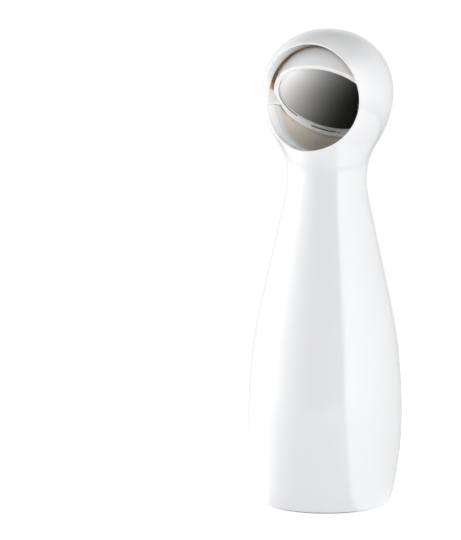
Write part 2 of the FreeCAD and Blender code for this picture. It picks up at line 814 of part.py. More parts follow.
def flatDisc(sketch, radius, flat):
    """A disc with two flats across X."""
    radius = asSize(radius)
    flat = asSize(flat)
    rise = root(radius * radius - flat * flat)
    angle = math.atan2(rise.value, flat.value)
    whole = Part.Circle(FreeCAD.Vector(), FreeCAD.Vector(0, 0, 1), radius.value)
    top = sketch.addGeometry(Part.ArcOfCircle(whole, angle, math.pi - angle), False)
    bottom = sketch.addGeometry(Part.ArcOfCircle(whole, math.pi + angle, 2 * math.pi - angle), False)
    left = sketch.addGeometry(Part.LineSegment(FreeCAD.Vector(-flat.value, rise.value),
                                               FreeCAD.Vector(-flat.value, -rise.value)), False)
    right = sketch.addGeometry(Part.LineSegment(FreeCAD.Vector(flat.value, -rise.value),
                                                FreeCAD.Vector(flat.value, rise.value)), False)
    for first, second in ((top, left), (left, bottom), (bottom, right), (right, top)):
        sketch.addConstraint(Sketcher.Constraint("Coincident", first, 2, second, 1))
    sketch.addConstraint(Sketcher.Constraint("Coincident", top, 3, -1, 1))
    sketch.addConstraint(Sketcher.Constraint("Coincident", bottom, 3, -1, 1))
    sketch.addConstraint(Sketcher.Constraint("Vertical", left))
    sketch.addConstraint(Sketcher.Constraint("Vertical", right))
    hold(sketch, "Radius", (top,), radius)
    hold(sketch, "Radius", (bottom,), radius)
    hold(sketch, "DistanceX", (left, 1, -1, 1), flat)
    hold(sketch, "DistanceX", (-1, 1, right, 1), flat)


trayBottom = -(s.glassThick + s.padThick + s.trayFloor)


def mirrorBlock(body, name, flat, bottom, top):
    """A block across the tray between two flats, wide enough for a ball about the pivot."""
    reach = s.trayRadius + s.wall
    outline = newSketch(body, "XY_Plane", name + "_outline", bottom)
    polygon(outline, [(-flat, -reach), (flat, -reach), (flat, reach), (-flat, reach)])
    pad(body, outline, name + "_block", top - bottom)


def pivotBall(name, radius):
    return ball(name, radius, 0, s.pivotDepth, s.pivotLevel)


def mirrorDome():
    """The hollow back of the mirror: part of a sphere about the pivot, with a flat at each pin."""
    forms = []
    low = -(s.pivotSetback + s.trayRadius + s.wall)
    for name, inset in (("dome_outer", zero), ("dome_inner", s.domeWall)):
        body = newBody(name)
        mirrorBlock(body, name, s.trayFlat - inset, low, trayBottom)
        sphere = pivotBall(name + "_ball", s.trayRadius - inset)
        forms.append(common(name + "_form", [tiltedPart(body), sphere]))
    return node("mirror_dome", cut("dome_cut", *forms))


def mirrorFrame():
    """The tray that holds the glass: a shallow dish with two flats and a pivot pin on each."""
    bottom = trayBottom
    body = newBody("mirror_tray")
    mirrorBlock(body, "tray", s.trayFlat, bottom, s.trayRim)
    inset = s.domeWall + s.spigotGap
    for name, extra, maker in (("spigot", inset, pad), ("hollow", inset + s.domeWall, pocket)):
        ring = newSketch(body, "XY_Plane", "tray_" + name, bottom - s.spigotHeight)
        flatDisc(ring, s.trayRadius - extra, s.trayFlat - extra)
        feature = maker(body, ring, "tray_" + name + "_form", s.spigotHeight)
        feature.Reversed = maker is pocket
    well = newSketch(body, "XY_Plane", "tray_well", s.trayRim)
    circle(well, s.glassRadius + s.glassGap)
    pocket(body, well, "tray_pocket", s.trayRim + s.glassThick + s.padThick)
    drain = newSketch(body, "XY_Plane", "tray_relief", bottom)
    circle(drain, s.glassRadius / 2)
    pocket(body, drain, "tray_window", s.trayFloor, True)
    tray = common("tray_form", [tiltedPart(body), pivotBall("tray_ball", s.trayRadius)])
    inner = s.glassRadius + s.glassGap + s.trayRim
    length = s.pinReach - inner
    left = cylinder("pivot_pin_left", s.pinRadius, length, -s.pinReach, s.pivotDepth, s.pivotLevel, "X")
    right = cylinder("pivot_pin_right", s.pinRadius, length, inner, s.pivotDepth, s.pivotLevel, "X")
    return node("mirror_frame", fuse("mirror_frame_whole", [tray, left, right]))


def mirrorGlass():
    chamfer = s.glassThick / 6
    glass = turned("mirror_disc", [(0, -s.glassThick), (s.glassRadius, -s.glassThick),
                                   (s.glassRadius, -chamfer), (s.glassRadius - chamfer, 0), (0, 0)])
    return node("mirror_glass", tiltedPart(glass))


def mirrorPad():
    """The foam that bonds the glass to the tray: a ring over the tray's window."""
    top = -s.glassThick
    bottom = top - s.padThick
    ring = turned("foam_ring", [(s.glassRadius / 2, bottom), (s.glassRadius - s.glassGap, bottom),
                                (s.glassRadius - s.glassGap, top), (s.glassRadius / 2, top)])
    return node("mirror_pad", tiltedPart(ring))


def pivotWashers():
    """Friction washers on the pins, between the tray's flats and the lugs."""
    washers = []
    for name, x in (("left", -s.trayFlat - s.washerThick), ("right", s.trayFlat)):
        disc = cylinder("washer_" + name, s.washerRadius, s.washerThick, x, s.pivotDepth, s.pivotLevel, "X")
        hole = cylinder("washer_bore_" + name, s.pinRadius, s.washerThick, x, s.pivotDepth, s.pivotLevel, "X")
        washers.append(cut("washer_ring_" + name, disc, hole))
    return node("pivot_washers", group("washer_pair", washers))


def mirrorBowl():
    """The liner behind the mirror: part of a sphere about the pivot, open to the front and below."""
    shell = cut("bowl_shell", pivotBall("bowl_outer", bowlOuter), pivotBall("bowl_inner", bowlInner))
    front = box("bowl_front_cut", (-far, far), (-far, -s.bowlFront), (0, far))
    beam = cylinder("beam_hole", s.beamRadius, far, 0, 0, 0)
    room = s.layerGap / 2
    notches = []
    inside = s.trayFlat / 2
    for side, xs in (("left", (-far, -inside)), ("right", (inside, far))):
        notches.append(box("bowl_notch_" + side, xs, (-far, s.lugRear + room),
                           (s.pivotLevel - lugHalf - room, s.pivotLevel + lugHalf + room)))
    return node("mirror_bowl", cut("bowl_cut", shell, fuse("bowl_cuts", [front, beam] + notches)))


# ---------------------------------------------------------------- laser on its ball
def leaned(thing):
    """Tilts a part, drawn upright about the ball's centre, by the nutation angle."""
    thing.Placement = FreeCAD.Placement(FreeCAD.Vector(), FreeCAD.Rotation(sideways, s.nutation.value))
    bind(thing, "Placement.Rotation.Angle", s.nutation)
    return place(thing, 0, 0, s.ballLevel)


def laserHolder():
    """A ball with a sleeve below it for the laser and a tail pin that the orbit gear carries round."""
    body = newBody("holder_ball")
    sketch = newSketch(body, "XZ_Plane", "holder_outline")
    shoulder = root(s.ballRadius * s.ballRadius - s.sleeveRadius * s.sleeveRadius)
    neck = -s.sleeveReach - s.tailRadius * 2
    polygon(sketch, [(0, -s.tailReach), (s.tailRadius, -s.tailReach), (s.tailRadius, neck),
                     (s.sleeveRadius, -s.sleeveReach), (s.sleeveRadius, -shoulder / 2), (0, -shoulder / 2)])
    revolve(body, sketch, "holder_stem")
    stem = leaned(body)
    knob = leaned(doc.addObject("Part::Sphere", "holder_knob"))
    bind(knob, "Radius", s.ballRadius)
    lip = s.barrelAbove - s.lensThick
    top = leaned(turned("holder_top", [(0, 0), (s.sleeveRadius, 0), (s.sleeveRadius, lip), (0, lip)]))
    room = s.barrelRadius + s.screwGap
    floor = s.sleeveRadius / 4 - s.sleeveReach
    above = s.barrelAbove * 2
    bore = leaned(turned("holder_bore", [(0, floor), (room, floor), (room, above), (0, above)]))
    depth = s.sleeveReach - s.sleeveRadius / 2
    slot = box("holder_slot", (-s.tailRadius, s.tailRadius), (zero, s.sleeveRadius * 2),
               (-depth, -s.barrelBelow - s.screwGap))
    leaned(slot)
    place(slot, -s.tailRadius, depth * sine(s.nutation), s.ballLevel - depth * cosine(s.nutation))
    whole = fuse("holder_whole", [stem, knob, top])
    return node("laser_holder", cut("holder_cut", whole, fuse("holder_cuts", [bore, slot])))


def laserParts():
    """The brass barrel with its lens and focus ring, and the driver board below it."""
    wall = s.barrelRadius - s.lensRadius
    mouth = s.barrelAbove - s.lensThick * 3
    lensRoom = s.lensRadius + s.screwGap
    floor = wall - s.barrelBelow
    barrel = turned("barrel_tube", [(0, -s.barrelBelow), (s.barrelRadius, -s.barrelBelow),
                                    (s.barrelRadius, s.barrelAbove), (lensRoom, s.barrelAbove),
                                    (lensRoom, mouth), (wall, mouth), (wall, floor), (0, floor)])
    node("laser_barrel", leaned(barrel))
    lens = turned("lens_disc", [(0, mouth), (s.lensRadius, mouth), (s.lensRadius, mouth + s.lensThick / 2),
                                (s.lensRadius / 2, mouth + s.lensThick), (0, mouth + s.lensThick)])
    node("laser_lens", leaned(lens))
    ringFloor = mouth + s.lensThick
    ringTop = s.barrelAbove - s.lensThick / 2
    inner = s.lensRadius - wall
    ring = turned("focus_nut", [(inner, ringFloor), (s.lensRadius, ringFloor), (s.lensRadius, ringTop),
                                (inner, ringTop)])
    node("focus_ring", leaned(ring))
    width = s.barrelRadius * 1.5
    length = s.sleeveReach - s.sleeveRadius / 4 - s.barrelBelow - s.screwGap * 2
    board = leaned(doc.addObject("Part::Box", "driver_board"))
    bind(board, "Length", width)
    bind(board, "Width", s.boardThick / 2)
    bind(board, "Height", length)
    drop = s.barrelBelow + s.screwGap + length
    place(board, -width / 2, -(s.boardThick / 4) * cosine(s.nutation) + drop * sine(s.nutation),
          s.ballLevel - drop * cosine(s.nutation) - (s.boardThick / 4) * sine(s.nutation))
    node("laser_board", board)


def ballSeat():
    """The lower ring of the socket, on the front shell's bosses."""
    low = -(s.layerGap + s.seatThick)
    cup = s.ballRadius + s.ballGap
    mouth = root(cup * cup - low * low)
    top = s.ballLevel - s.layerGap
    ring = turned("seat_ring", [(mouth, s.ballLevel + low), (s.seatRadius, s.ballLevel + low),
                                (s.seatRadius, top), (s.ballRadius / 2, top)])
    room = ball("seat_room", cup, 0, 0, s.ballLevel)
    throat = cylinder("seat_mouth", mouth, far, 0, 0, s.ballLevel - far)
    holes = [room, throat]
    for name, x in (("left", -s.seatScrewSpacing), ("right", s.seatScrewSpacing)):
        holes.append(screwHole("seat_pass_" + name, x, zero, s.ballLevel - far, far * 2))
    return node("ball_seat", cut("seat_cut", ring, fuse("seat_cuts", holes)))


def ballCap():
    """The upper ring of the socket, screwed down over the seat."""
    cup = s.ballRadius + s.ballGap
    low = -s.layerGap
    high = low + s.seatCapThick
    mouth = root(cup * cup - high * high)
    ring = turned("cap_ring", [(s.ballRadius / 2, s.ballLevel + low), (s.seatCapRadius, s.ballLevel + low),
                               (s.seatCapRadius, s.ballLevel + high - s.bossFloor),
                               (s.seatCapRadius - s.bossFloor, s.ballLevel + high),
                               (mouth, s.ballLevel + high)])
    holes = [ball("cap_room", cup, 0, 0, s.ballLevel), cylinder("cap_mouth", mouth, far, 0, 0, s.ballLevel)]
    for name, x in (("left", -s.seatScrewSpacing), ("right", s.seatScrewSpacing)):
        holes.append(screwHole("cap_pass_" + name, x, zero, s.ballLevel - far, far * 2))
    return node("ball_cap", cut("cap_cut", ring, fuse("cap_cuts", holes)))


def seatScrews():
    top = s.ballLevel - s.layerGap + s.seatCapThick
    length = s.seatCapThick + s.seatThick + s.seatScrewBite
    screws = [screw("seat_screw_left", length, -s.seatScrewSpacing, 0, top),
              screw("seat_screw_right", length, s.seatScrewSpacing, 0, top)]
    return node("seat_screws", group("seat_screw_pair", screws))


# ---------------------------------------------------------------- gear train
transferX, transferY = polar(transferArm, s.transferAngle)
stepX, stepY = polar(gearArm, s.reductionAngle)
reductionX = transferX + stepX
reductionY = transferY + stepY
stepX, stepY = polar(gearArm, s.motorAngle)
motorX = reductionX + stepX
motorY = reductionY + stepY
gearFloor = s.gearPlateLevel + s.gearPlateThick
layerOne = gearFloor + s.layerGap
layerTwo = layerOne + s.wheelThick + s.layerGap
layerThree = layerTwo + s.wheelThick + s.layerGap
gearRoof = s.gearCoverLevel - s.layerGap


def meshPhase(teeth, driverTeeth, driverPhase, direction):
    """Turn of a gear that puts its gap on the driver's tooth along the line between their axles."""
    share = (direction - driverPhase) * driverTeeth / 360
    return direction + 180 - (0.5 - share) * 360 / teeth


orbitPhase = zero
transferPhase = meshPhase(s.pinionTeeth, s.orbitTeeth, orbitPhase, s.transferAngle)
reductionPhase = meshPhase(s.pinionTeeth, s.wheelTeeth, transferPhase, s.reductionAngle)
rotorPhase = meshPhase(s.pinionTeeth, s.wheelTeeth, reductionPhase, s.motorAngle)


def toothedRing(name, teeth, bottom, thick, small):
    """A spur gear's rim: a disc to the root circle and one tooth, patterned round it."""
    module = s.toothModule
    pitch = teeth * module / 2
    rootCircle = pitch - module * 1.25
    tip = pitch + module * 0.95
    start = rootCircle - module / 2
    body = newBody(name)
    disc = newSketch(body, "XY_Plane", name + "_disc", bottom)
    circle(disc, rootCircle)
    pad(body, disc, name + "_blank", thick)
    outline = newSketch(body, "XY_Plane", name + "_tooth", bottom)
    if small:
        polygon(outline, [(start, -module * 0.66), (pitch, -module * 0.66), (tip, -module * 0.27),
                          (tip, module * 0.27), (pitch, module * 0.66), (start, module * 0.66)])
    else:
        polygon(outline, [(start, -module * 1.05), (tip, -module * 0.36), (tip, module * 0.36),
                          (start, module * 1.05)])
    tooth = pad(body, outline, name + "_tooth_pad", thick)
    pattern = body.newObject("PartDesign::PolarPattern", name + "_teeth")
    pattern.Originals = [tooth]
    pattern.Axis = (outline, ["N_Axis"])
    pattern.Angle = 360.0
    bind(pattern, "Occurrences", teeth)
    body.Tip = pattern
    return body


def onAxle(gear, x, y, phase):
    """Puts a gear drawn about the origin on its axle, turned to mesh."""
    spin = FreeCAD.Rotation(FreeCAD.Vector(0, 0, 1), phase.value)
    gear.Placement = FreeCAD.Placement(FreeCAD.Vector(), spin)
    bind(gear, "Placement.Rotation.Angle", phase)
    return place(gear, x, y, 0)


def compoundGear(name, wheelBottom, pinionTop, x, y, phase):
    """A wheel with a pinion above it on one hub."""
    wheelTop = wheelBottom + s.wheelThick
    wheel = toothedRing(name + "_wheel", s.wheelTeeth, wheelBottom, s.wheelThick, False)
    pinion = toothedRing(name + "_pinion", s.pinionTeeth, wheelTop, pinionTop - wheelTop, True)
    hub = cylinder(name + "_hub", s.hubRadius, gearRoof - layerOne, 0, 0, layerOne)
    bore = cylinder(name + "_bore", s.axleRadius + s.runningGap, far, 0, 0, zero)
    gear = cut(name + "_cut", fuse(name + "_whole", [wheel, pinion, hub]), bore)
    return node(name, onAxle(gear, x, y, phase))


def orbitGear():
    """The gear that carries the laser's tail round in a leaning bore."""
    ring = toothedRing("orbit_rim", s.orbitTeeth, layerThree, s.orbitThick, False)
    hub = cylinder("orbit_hub", s.orbitHubRadius, s.orbitThick + layerThree - layerOne, 0, 0, layerOne)
    boss = cylinder("orbit_boss", s.orbitBossRadius, s.orbitBossTop - layerThree, 0, 0, layerThree)
    axleRoom = orbitAxleTop + s.layerGap / 2
    axleBore = cylinder("orbit_bore", s.orbitAxleRadius + s.runningGap, axleRoom, 0, 0, zero)
    tailBore = leaned(turned("tail_bore", [(0, -s.tailReach - s.layerGap / 2),
                                           (s.tailRadius + s.runningGap, -s.tailReach - s.layerGap / 2),
                                           (s.tailRadius + s.runningGap, 0), (0, 0)]))
    whole = fuse("orbit_whole", [ring, hub, boss])
    return node("orbit_gear", cut("orbit_cut", whole, fuse("orbit_bores", [axleBore, tailBore])))


orbitAxleTop = s.ballLevel - s.tailReach * cosine(s.nutation) - s.orbitAxleRadius


def gearAxles():
    """Steel pins: one to the orbit gear and one to each compound gear."""
    height = s.gearCoverLevel + s.gearCoverThick - s.gearPlateLevel
    short = orbitAxleTop - s.gearPlateLevel
    pins = [cylinder("orbit_axle", s.orbitAxleRadius, short, 0, 0, s.gearPlateLevel),
            cylinder("transfer_axle", s.axleRadius, height, transferX, transferY, s.gearPlateLevel),
            cylinder("reduction_axle", s.axleRadius, height, reductionX, reductionY, s.gearPlateLevel)]
    return node("gear_axles", group("gear_axle_set", pins))


def pillarPlaces():
    """Pillars of the gearbox, clear of the gears: name, x and y."""
    return [("left", s.leftPillarX, s.leftPillarY), ("right", s.rightPillarX, s.rightPillarY),
            ("front", s.frontPillarX, s.frontPillarY)]


def plateOutline(name, radius, bottom, thick):
    """A round plate cut straight at the rear to clear the circuit board."""
    disc = cylinder(name + "_disc", radius, thick, 0, 0, bottom)
    return common(name + "_outline", [disc, box(name + "_bound", (-far, far), (-far, s.plateRear), (0, far))])


def motorBlock(name, extra, bottom, height):
    """A block with the motor's outline, a little larger by the extra."""
    body = newBody(name)
    sketch = newSketch(body, "XY_Plane", name + "_outline", bottom)
    flatDisc(sketch, s.motorRadius + extra, s.motorFlat + extra)
    pad(body, sketch, name + "_pad", height)
    body.Placement = FreeCAD.Placement(FreeCAD.Vector(), FreeCAD.Rotation(FreeCAD.Vector(0, 0, 1), 90))
    return place(body, motorX, motorY, 0)


def gearPlate():
    """The gearbox floor with its pillars above and the motor's socket below."""
    socket = s.gearPlateLevel - s.motorSocketDepth
    axle = s.axleRadius + s.gearPressGap
    parts = [plateOutline("plate", s.gearPlateRadius, s.gearPlateLevel, s.gearPlateThick),
             motorBlock("motor_socket", s.motorGap + s.canWall, socket, s.motorSocketDepth)]
    holes = [motorBlock("motor_room", s.motorGap, socket, s.motorSocketDepth),
             cylinder("nose_hole", s.noseRadius + s.motorGap, far, motorX, motorY, zero),
             cylinder("orbit_axle_hole", s.orbitAxleRadius + s.gearPressGap, far, 0, 0, zero),
             cylinder("transfer_axle_hole", axle, far, transferX, transferY, zero),
             cylinder("reduction_axle_hole", axle, far, reductionX, reductionY, zero)]
    bite = s.coverScrewLength - s.gearCoverThick + s.bossFloor
    for name, x, y in pillarPlaces():
        parts.append(cylinder("pillar_" + name, s.pillarRadius, s.gearCoverLevel - s.gearPlateLevel, x, y,
                              s.gearPlateLevel))
        holes.append(screwHole("pillar_hole_" + name, x, y, s.gearCoverLevel - bite, bite))
    for name, x, y in gearPlateScrews():
        holes.append(screwHole("plate_pass_" + name, x, y, zero, far))
    plate = cut("gear_plate_cut", fuse("gear_plate_whole", parts), fuse("gear_plate_holes", holes))
    return node("gear_plate", plate)


def gearCover():
    holes = [cylinder("boss_hole", s.orbitBossRadius + s.layerGap, far, 0, 0, zero),
             cylinder("transfer_top", s.axleRadius + s.gearPressGap, far, transferX, transferY, zero),
             cylinder("reduction_top", s.axleRadius + s.gearPressGap, far, reductionX, reductionY, zero)]
    for name, x, y in pillarPlaces():
        holes.append(screwHole("cover_pass_" + name, x, y, zero, far))
    plate = plateOutline("cover", s.gearCoverRadius, s.gearCoverLevel, s.gearCoverThick)
    return node("gear_cover", cut("gear_cover_cut", plate, fuse("gear_cover_holes", holes)))


def gearScrews():
    screws = []
    top = s.gearCoverLevel + s.gearCoverThick
    for name, x, y in pillarPlaces():
        screws.append(screw("cover_screw_" + name, s.coverScrewLength, x, y, top))
    for name, x, y in gearPlateScrews():
        screws.append(screw("plate_screw_" + name, s.plateScrewLength, x, y, gearFloor))
    return node("gear_screws", group("gear_screw_set", screws))


# ---------------------------------------------------------------- motor
motorBottom = s.gearPlateLevel - s.motorLength


def motor():
    """The can with its bearing nose, the end cap, and the turning shaft, armature and pinion."""
    can = motorBlock("can_block", zero, motorBottom, s.motorLength)
    nose = cylinder("can_nose", s.noseRadius, s.noseHeight, motorX, motorY, s.gearPlateLevel)
    room = cylinder("can_room", s.armatureRadius + s.layerGap, s.motorLength - s.canWall, motorX, motorY,
                    motorBottom)
    bore = cylinder("can_bore", s.shaftRadius + s.runningGap, far, motorX, motorY, zero)
    node("motor_can", cut("can_cut", fuse("can_whole", [can, nose]), fuse("can_holes", [room, bore])))
    capBottom = motorBottom - s.motorCapThick
    cap = motorBlock("cap_block", -s.tabThick, capBottom, s.motorCapThick)
    capBore = cylinder("cap_bore", s.shaftRadius + s.runningGap, far, motorX, motorY, zero)
    node("motor_cap", cut("motor_cap_cut", cap, capBore))
    tabs = []
    leads = []
    for name, sign in (("left", -1), ("right", 1)):
        x = motorX + sign * s.tabSpacing
        rear = motorY + s.tabThick / 2
        sides = (x - s.tabWidth / 2, x + s.tabWidth / 2)
        tabs.append(box("motor_tab_" + name, sides, (rear - s.tabThick, rear),
                        (capBottom - s.tabReach, capBottom)))
        leads.append(cylinder("motor_lead_" + name, s.leadRadius, s.boardFront - rear, x, rear,
                              capBottom - s.tabThick * 2, "Y"))
    node("motor_terminals", group("motor_tab_pair", tabs))
    node("motor_leads", group("motor_lead_pair", leads))
    length = layerOne + s.wheelThick - capBottom
    node("motor_shaft", cylinder("rotor_shaft", s.shaftRadius, length, motorX, motorY, capBottom))
    core = cylinder("armature_core", s.armatureRadius, s.armatureLength, motorX, motorY,
                    motorBottom + (s.motorLength - s.canWall - s.armatureLength) / 2)
    coreBore = cylinder("armature_bore", s.shaftRadius + s.gearPressGap, far, motorX, motorY, zero)
    node("motor_armature", cut("armature_cut", core, coreBore))
    ring = toothedRing("motor_pinion_ring", s.pinionTeeth, layerOne, s.wheelThick, True)
    bore = cylinder("motor_pinion_bore", s.shaftRadius + s.gearPressGap, far, 0, 0, zero)
    node("motor_pinion", onAxle(cut("motor_pinion_cut", ring, bore), motorX, motorY, rotorPhase))


# ---------------------------------------------------------------- circuit board and power button


def mainBoard():
    holes = []
    plate = box("board_plate", (-s.boardWidth / 2, s.boardWidth / 2), (s.boardFront, boardRear),
                (s.boardBottom, s.boardTop))
    for name, x, z in boardScrewPlaces():
        holes.append(screwHole("board_pass_" + name, x, zero, z, far, "Y"))
    return node("main_board", cut("board_cut", plate, fuse("board_passes", holes)))


def boardParts():
    half = s.switchSide / 2
    body = box("switch_body", (-half, half), (boardRear, switchRear),
               (s.buttonLevel - half, s.buttonLevel + half))
    depth = s.buttonTravel + s.stemGap
    room = cylinder("switch_room", s.plungerRadius + s.runningGap, far, 0, switchRear - depth, s.buttonLevel,
                    "Y")
    node("power_switch", cut("switch_cut", body, room))
    plunger = cylinder("plunger", s.plungerRadius, s.plungerReach, 0, switchRear, s.buttonLevel, "Y")
    node("switch_plunger", plunger)
    node("control_chip", box("chip_body", (-s.chipWidth / 2, s.chipWidth / 2),
                             (s.boardFront - s.chipThick, s.boardFront),
                             (s.chipLevel, s.chipLevel + s.chipHeight)))
    node("capacitor", cylinder("capacitor_can", s.capacitorRadius, s.capacitorLength, s.capacitorX,
                               s.boardFront - s.capacitorLength, s.capacitorLevel, "Y"))


def boardScrews():
    screws = []
    for name, x, z in boardScrewPlaces():
        screws.append(screw("board_screw_" + name, s.boardScrewLength, x, s.boardFront, z, sideways, 90))
    return node("board_screws", group("board_screw_set", screws))


def powerButton(proud):
    """A cap that follows the casing's curve, with a retaining flange and a stem to the switch."""
    flangeTop = s.guideInner - s.buttonGap / 2
    cap = common("button_cap", [cylinder("button_rod", s.buttonRadius, far, 0, flangeTop - s.flangeThick,
                                         s.buttonLevel, "Y"), proud])
    flange = cylinder("button_flange", s.buttonFlange, s.flangeThick, 0, flangeTop - s.flangeThick,
                      s.buttonLevel, "Y")
    stem = cylinder("button_stem", s.stemRadius, flangeTop - stemEnd, 0, stemEnd, s.buttonLevel, "Y")
    return node("power_button", fuse("button_whole", [cap, flange, stem]))


# ---------------------------------------------------------------- power cells
def cellPlaces():
    """The four cells: name, x, y and whether the nub is up."""
    reach = s.cellSpacing
    return [("one", -reach, -reach, True), ("two", -reach, reach, False),
            ("three", reach, reach, True), ("four", reach, -reach, False)]


def powerCells():
    can = s.cellLength - s.nubHeight
    for name, x, y, up in cellPlaces():
        cell = turned("cell_" + name, [(0, 0), (s.cellRadius, 0), (s.cellRadius, can), (s.nubRadius, can),
                                       (s.nubRadius, s.cellLength), (0, s.cellLength)])
        cell.Placement = FreeCAD.Placement(FreeCAD.Vector(), FreeCAD.Rotation(sideways, 0 if up else 180))
        node("power_cell_" + name, place(cell, x, y, cellBottom if up else cellTop))


def caseScrewPlaces():
    return [("left", -s.caseScrewX), ("right", s.caseScrewX)]


def caseScrews():
    """Two short screws through the ears of the case into the base plate."""
    top = basePlateTop + s.caseFlangeThick
    screws = [screw("case_screw_" + name, s.caseScrewLength, x, 0, top) for name, x in caseScrewPlaces()]
    return node("case_screws", group("case_screw_pair", screws))


def batteryCase():
    """Four open wells in one moulding, with a roof, a foot flange and a screw post between the cells."""
    top = caseRoof + s.caseTop
    well = s.cellRadius + s.cellGap
    blocks = [cylinder("case_flange", s.doorRadius - s.doorGap, s.caseFlangeThick, 0, 0, basePlateTop),
              cylinder("case_post", s.cellSpacing, top - basePlateTop, 0, 0, basePlateTop),
              box("case_ears", (-s.caseEarReach, s.caseEarReach), (-s.bossRadius, s.bossRadius),
                  (basePlateTop, basePlateTop + s.caseFlangeThick))]
    holes = [screwHole("case_post_hole", 0, 0, zero, basePlateTop + s.doorScrewLength)]
    for name, x in caseScrewPlaces():
        holes.append(screwHole("case_pass_" + name, x, 0, zero, far))
    for name, x, y, up in cellPlaces():
        wall = cylinder("case_wall_" + name, well + s.caseWall, top - basePlateTop, x, y, basePlateTop)
        blocks.append(wall)
        holes.append(cylinder("case_well_" + name, well, caseRoof, x, y, zero))
    side = s.nubRadius + s.cellGap
    reach = s.cellSpacing + side
    slotFloor = cellTop - s.contactThick
    holes.append(box("case_bridge_slot", (-reach, reach), (s.cellSpacing - side, s.cellSpacing + side),
                     (slotFloor, caseRoof)))
    return node("battery_case", cut("case_cut", fuse("case_whole", blocks), fuse("case_wells", holes)))


def terminalPlates():
    """Plates under the roof of the case: a bridge over two cells and a single pad on each of the others."""
    near = s.cellSpacing - s.nubRadius
    reach = s.cellSpacing + s.nubRadius
    plates = [box("top_bridge", (-reach, reach), (near, reach), (cellTop, caseRoof)),
              box("top_pad_left", (-reach, -near), (-reach, -near), (cellTop, caseRoof)),
              box("top_pad_right", (near, reach), (-reach, -near), (cellTop, caseRoof))]
    return node("terminal_plates", group("terminal_plate_set", plates))


def doorContacts():
    """Folded leaves on the door: each bridges two cells and springs up to them."""
    thick = s.contactThick
    end = s.cellSpacing + s.nubRadius + thick * 4
    crest = cellBottom - thick / 2
    leaves = []
    for name, x in (("left", -s.cellSpacing), ("right", s.cellSpacing)):
        body = newBody("leaf_" + name)
        sketch = newSketch(body, "YZ_Plane", "leaf_profile_" + name, x - s.nubRadius)
        near = s.cellSpacing - s.nubRadius
        fold = s.cellSpacing - thick / 2
        polygon(sketch, [(-end, doorTop), (end, doorTop), (end, doorTop + thick * 2), (s.cellSpacing, crest),
                         (near, crest), (near, crest - thick), (fold, crest - thick),
                         (end - thick * 2, doorTop + thick), (thick * 2 - end, doorTop + thick),
                         (-fold, crest - thick), (-near, crest - thick), (-near, crest),
                         (-s.cellSpacing, crest), (-end, doorTop + thick * 2)])
        pad(body, sketch, "leaf_pad_" + name, s.nubRadius * 2)
        leaves.append(body)
    return node("door_contacts", group("leaf_pair", leaves))


# ---------------------------------------------------------------- base
def basePlate():
    """The floor of the casing: a disc with a recess for the door and a groove for the foot ring."""
    outer = s.baseRadius - s.wall - s.basePlateGap
    recess = s.doorRadius + s.doorGap
    recessTop = doorTop + s.screwGap
    groove = s.skirtLevel + s.footSeat
    gap = s.screwGap
    near = s.footInner - gap
    wide = s.footOuter + gap
    disc = turned("base_disc", [(s.baseHoleRadius, recessTop), (recess, recessTop), (recess, s.skirtLevel),
                                (near, s.skirtLevel), (near, groove), (wide, groove),
                                (wide, s.skirtLevel), (outer, s.skirtLevel), (outer, basePlateTop),
                                (s.baseHoleRadius, basePlateTop)])
    holes = []
    sink = s.skirtLevel + s.screwHeadHeight + gap
    for name, x, y in baseScrewPlaces(True) + baseScrewPlaces(False):
        holes.append(screwHole("base_pass_" + name, x, y, zero, far))
        holes.append(cylinder("base_sink_" + name, s.screwHeadRadius + s.cellGap, sink, x, y, zero))
    for name, x in caseScrewPlaces():
        bite = s.caseScrewLength - s.caseFlangeThick
        holes.append(screwHole("ear_hole_" + name, x, 0, basePlateTop - bite, bite))
    return node("base_plate", cut("base_plate_cut", disc, fuse("base_plate_holes", holes)))


def baseScrews():
    level = s.skirtLevel + s.screwHeadHeight + s.screwGap
    screws = []
    for name, x, y in baseScrewPlaces(True) + baseScrewPlaces(False):
        screws.append(screw("base_screw_" + name, s.baseScrewLength, x, y, level, sideways, 180))
    return node("base_screws", group("base_screw_set", screws))


def footRing():
    top = s.skirtLevel + s.footSeat
    edge = s.footSeat / 2
    rubber = turned("foot_rubber", [(s.footInner, top), (s.footInner, edge), (s.footInner + edge, 0),
                                    (s.footOuter - edge, 0), (s.footOuter, edge), (s.footOuter, top)])
    return node("foot_ring", rubber)


def batteryDoor():
    """The round door under the cells, held by one captive screw in the middle."""
    sink = s.screwHeadRadius + s.cellGap
    ledge = s.skirtLevel + s.screwRimHeight
    bevel = s.doorThick / 4
    door = turned("door_disc", [(s.screwRadius + s.screwGap, ledge), (sink, ledge), (sink, s.skirtLevel),
                                (s.doorRadius - bevel, s.skirtLevel), (s.doorRadius, s.skirtLevel + bevel),
                                (s.doorRadius, doorTop), (s.screwRadius + s.screwGap, doorTop)])
    notch = box("door_notch", (-s.bossRadius, s.bossRadius), (-s.doorRadius, -s.gripReach),
                (zero, s.skirtLevel + s.doorThick / 2))
    node("battery_door", cut("door_cut", door, notch))
    node("door_screw", screw("door_screw_turned", s.doorScrewLength, 0, 0, ledge, sideways, 180))


# ---------------------------------------------------------------- assembly
def casing():
    outer = casingForm("casing_form", 0)
    cavity = casingForm("cavity_form", s.wall)
    core = casingForm("core_form", s.wall / 2)
    skin = cut("casing_skin", outer, cavity)
    frontShell(skin, core)
    rearShell(skin, core)
    casingScrews()


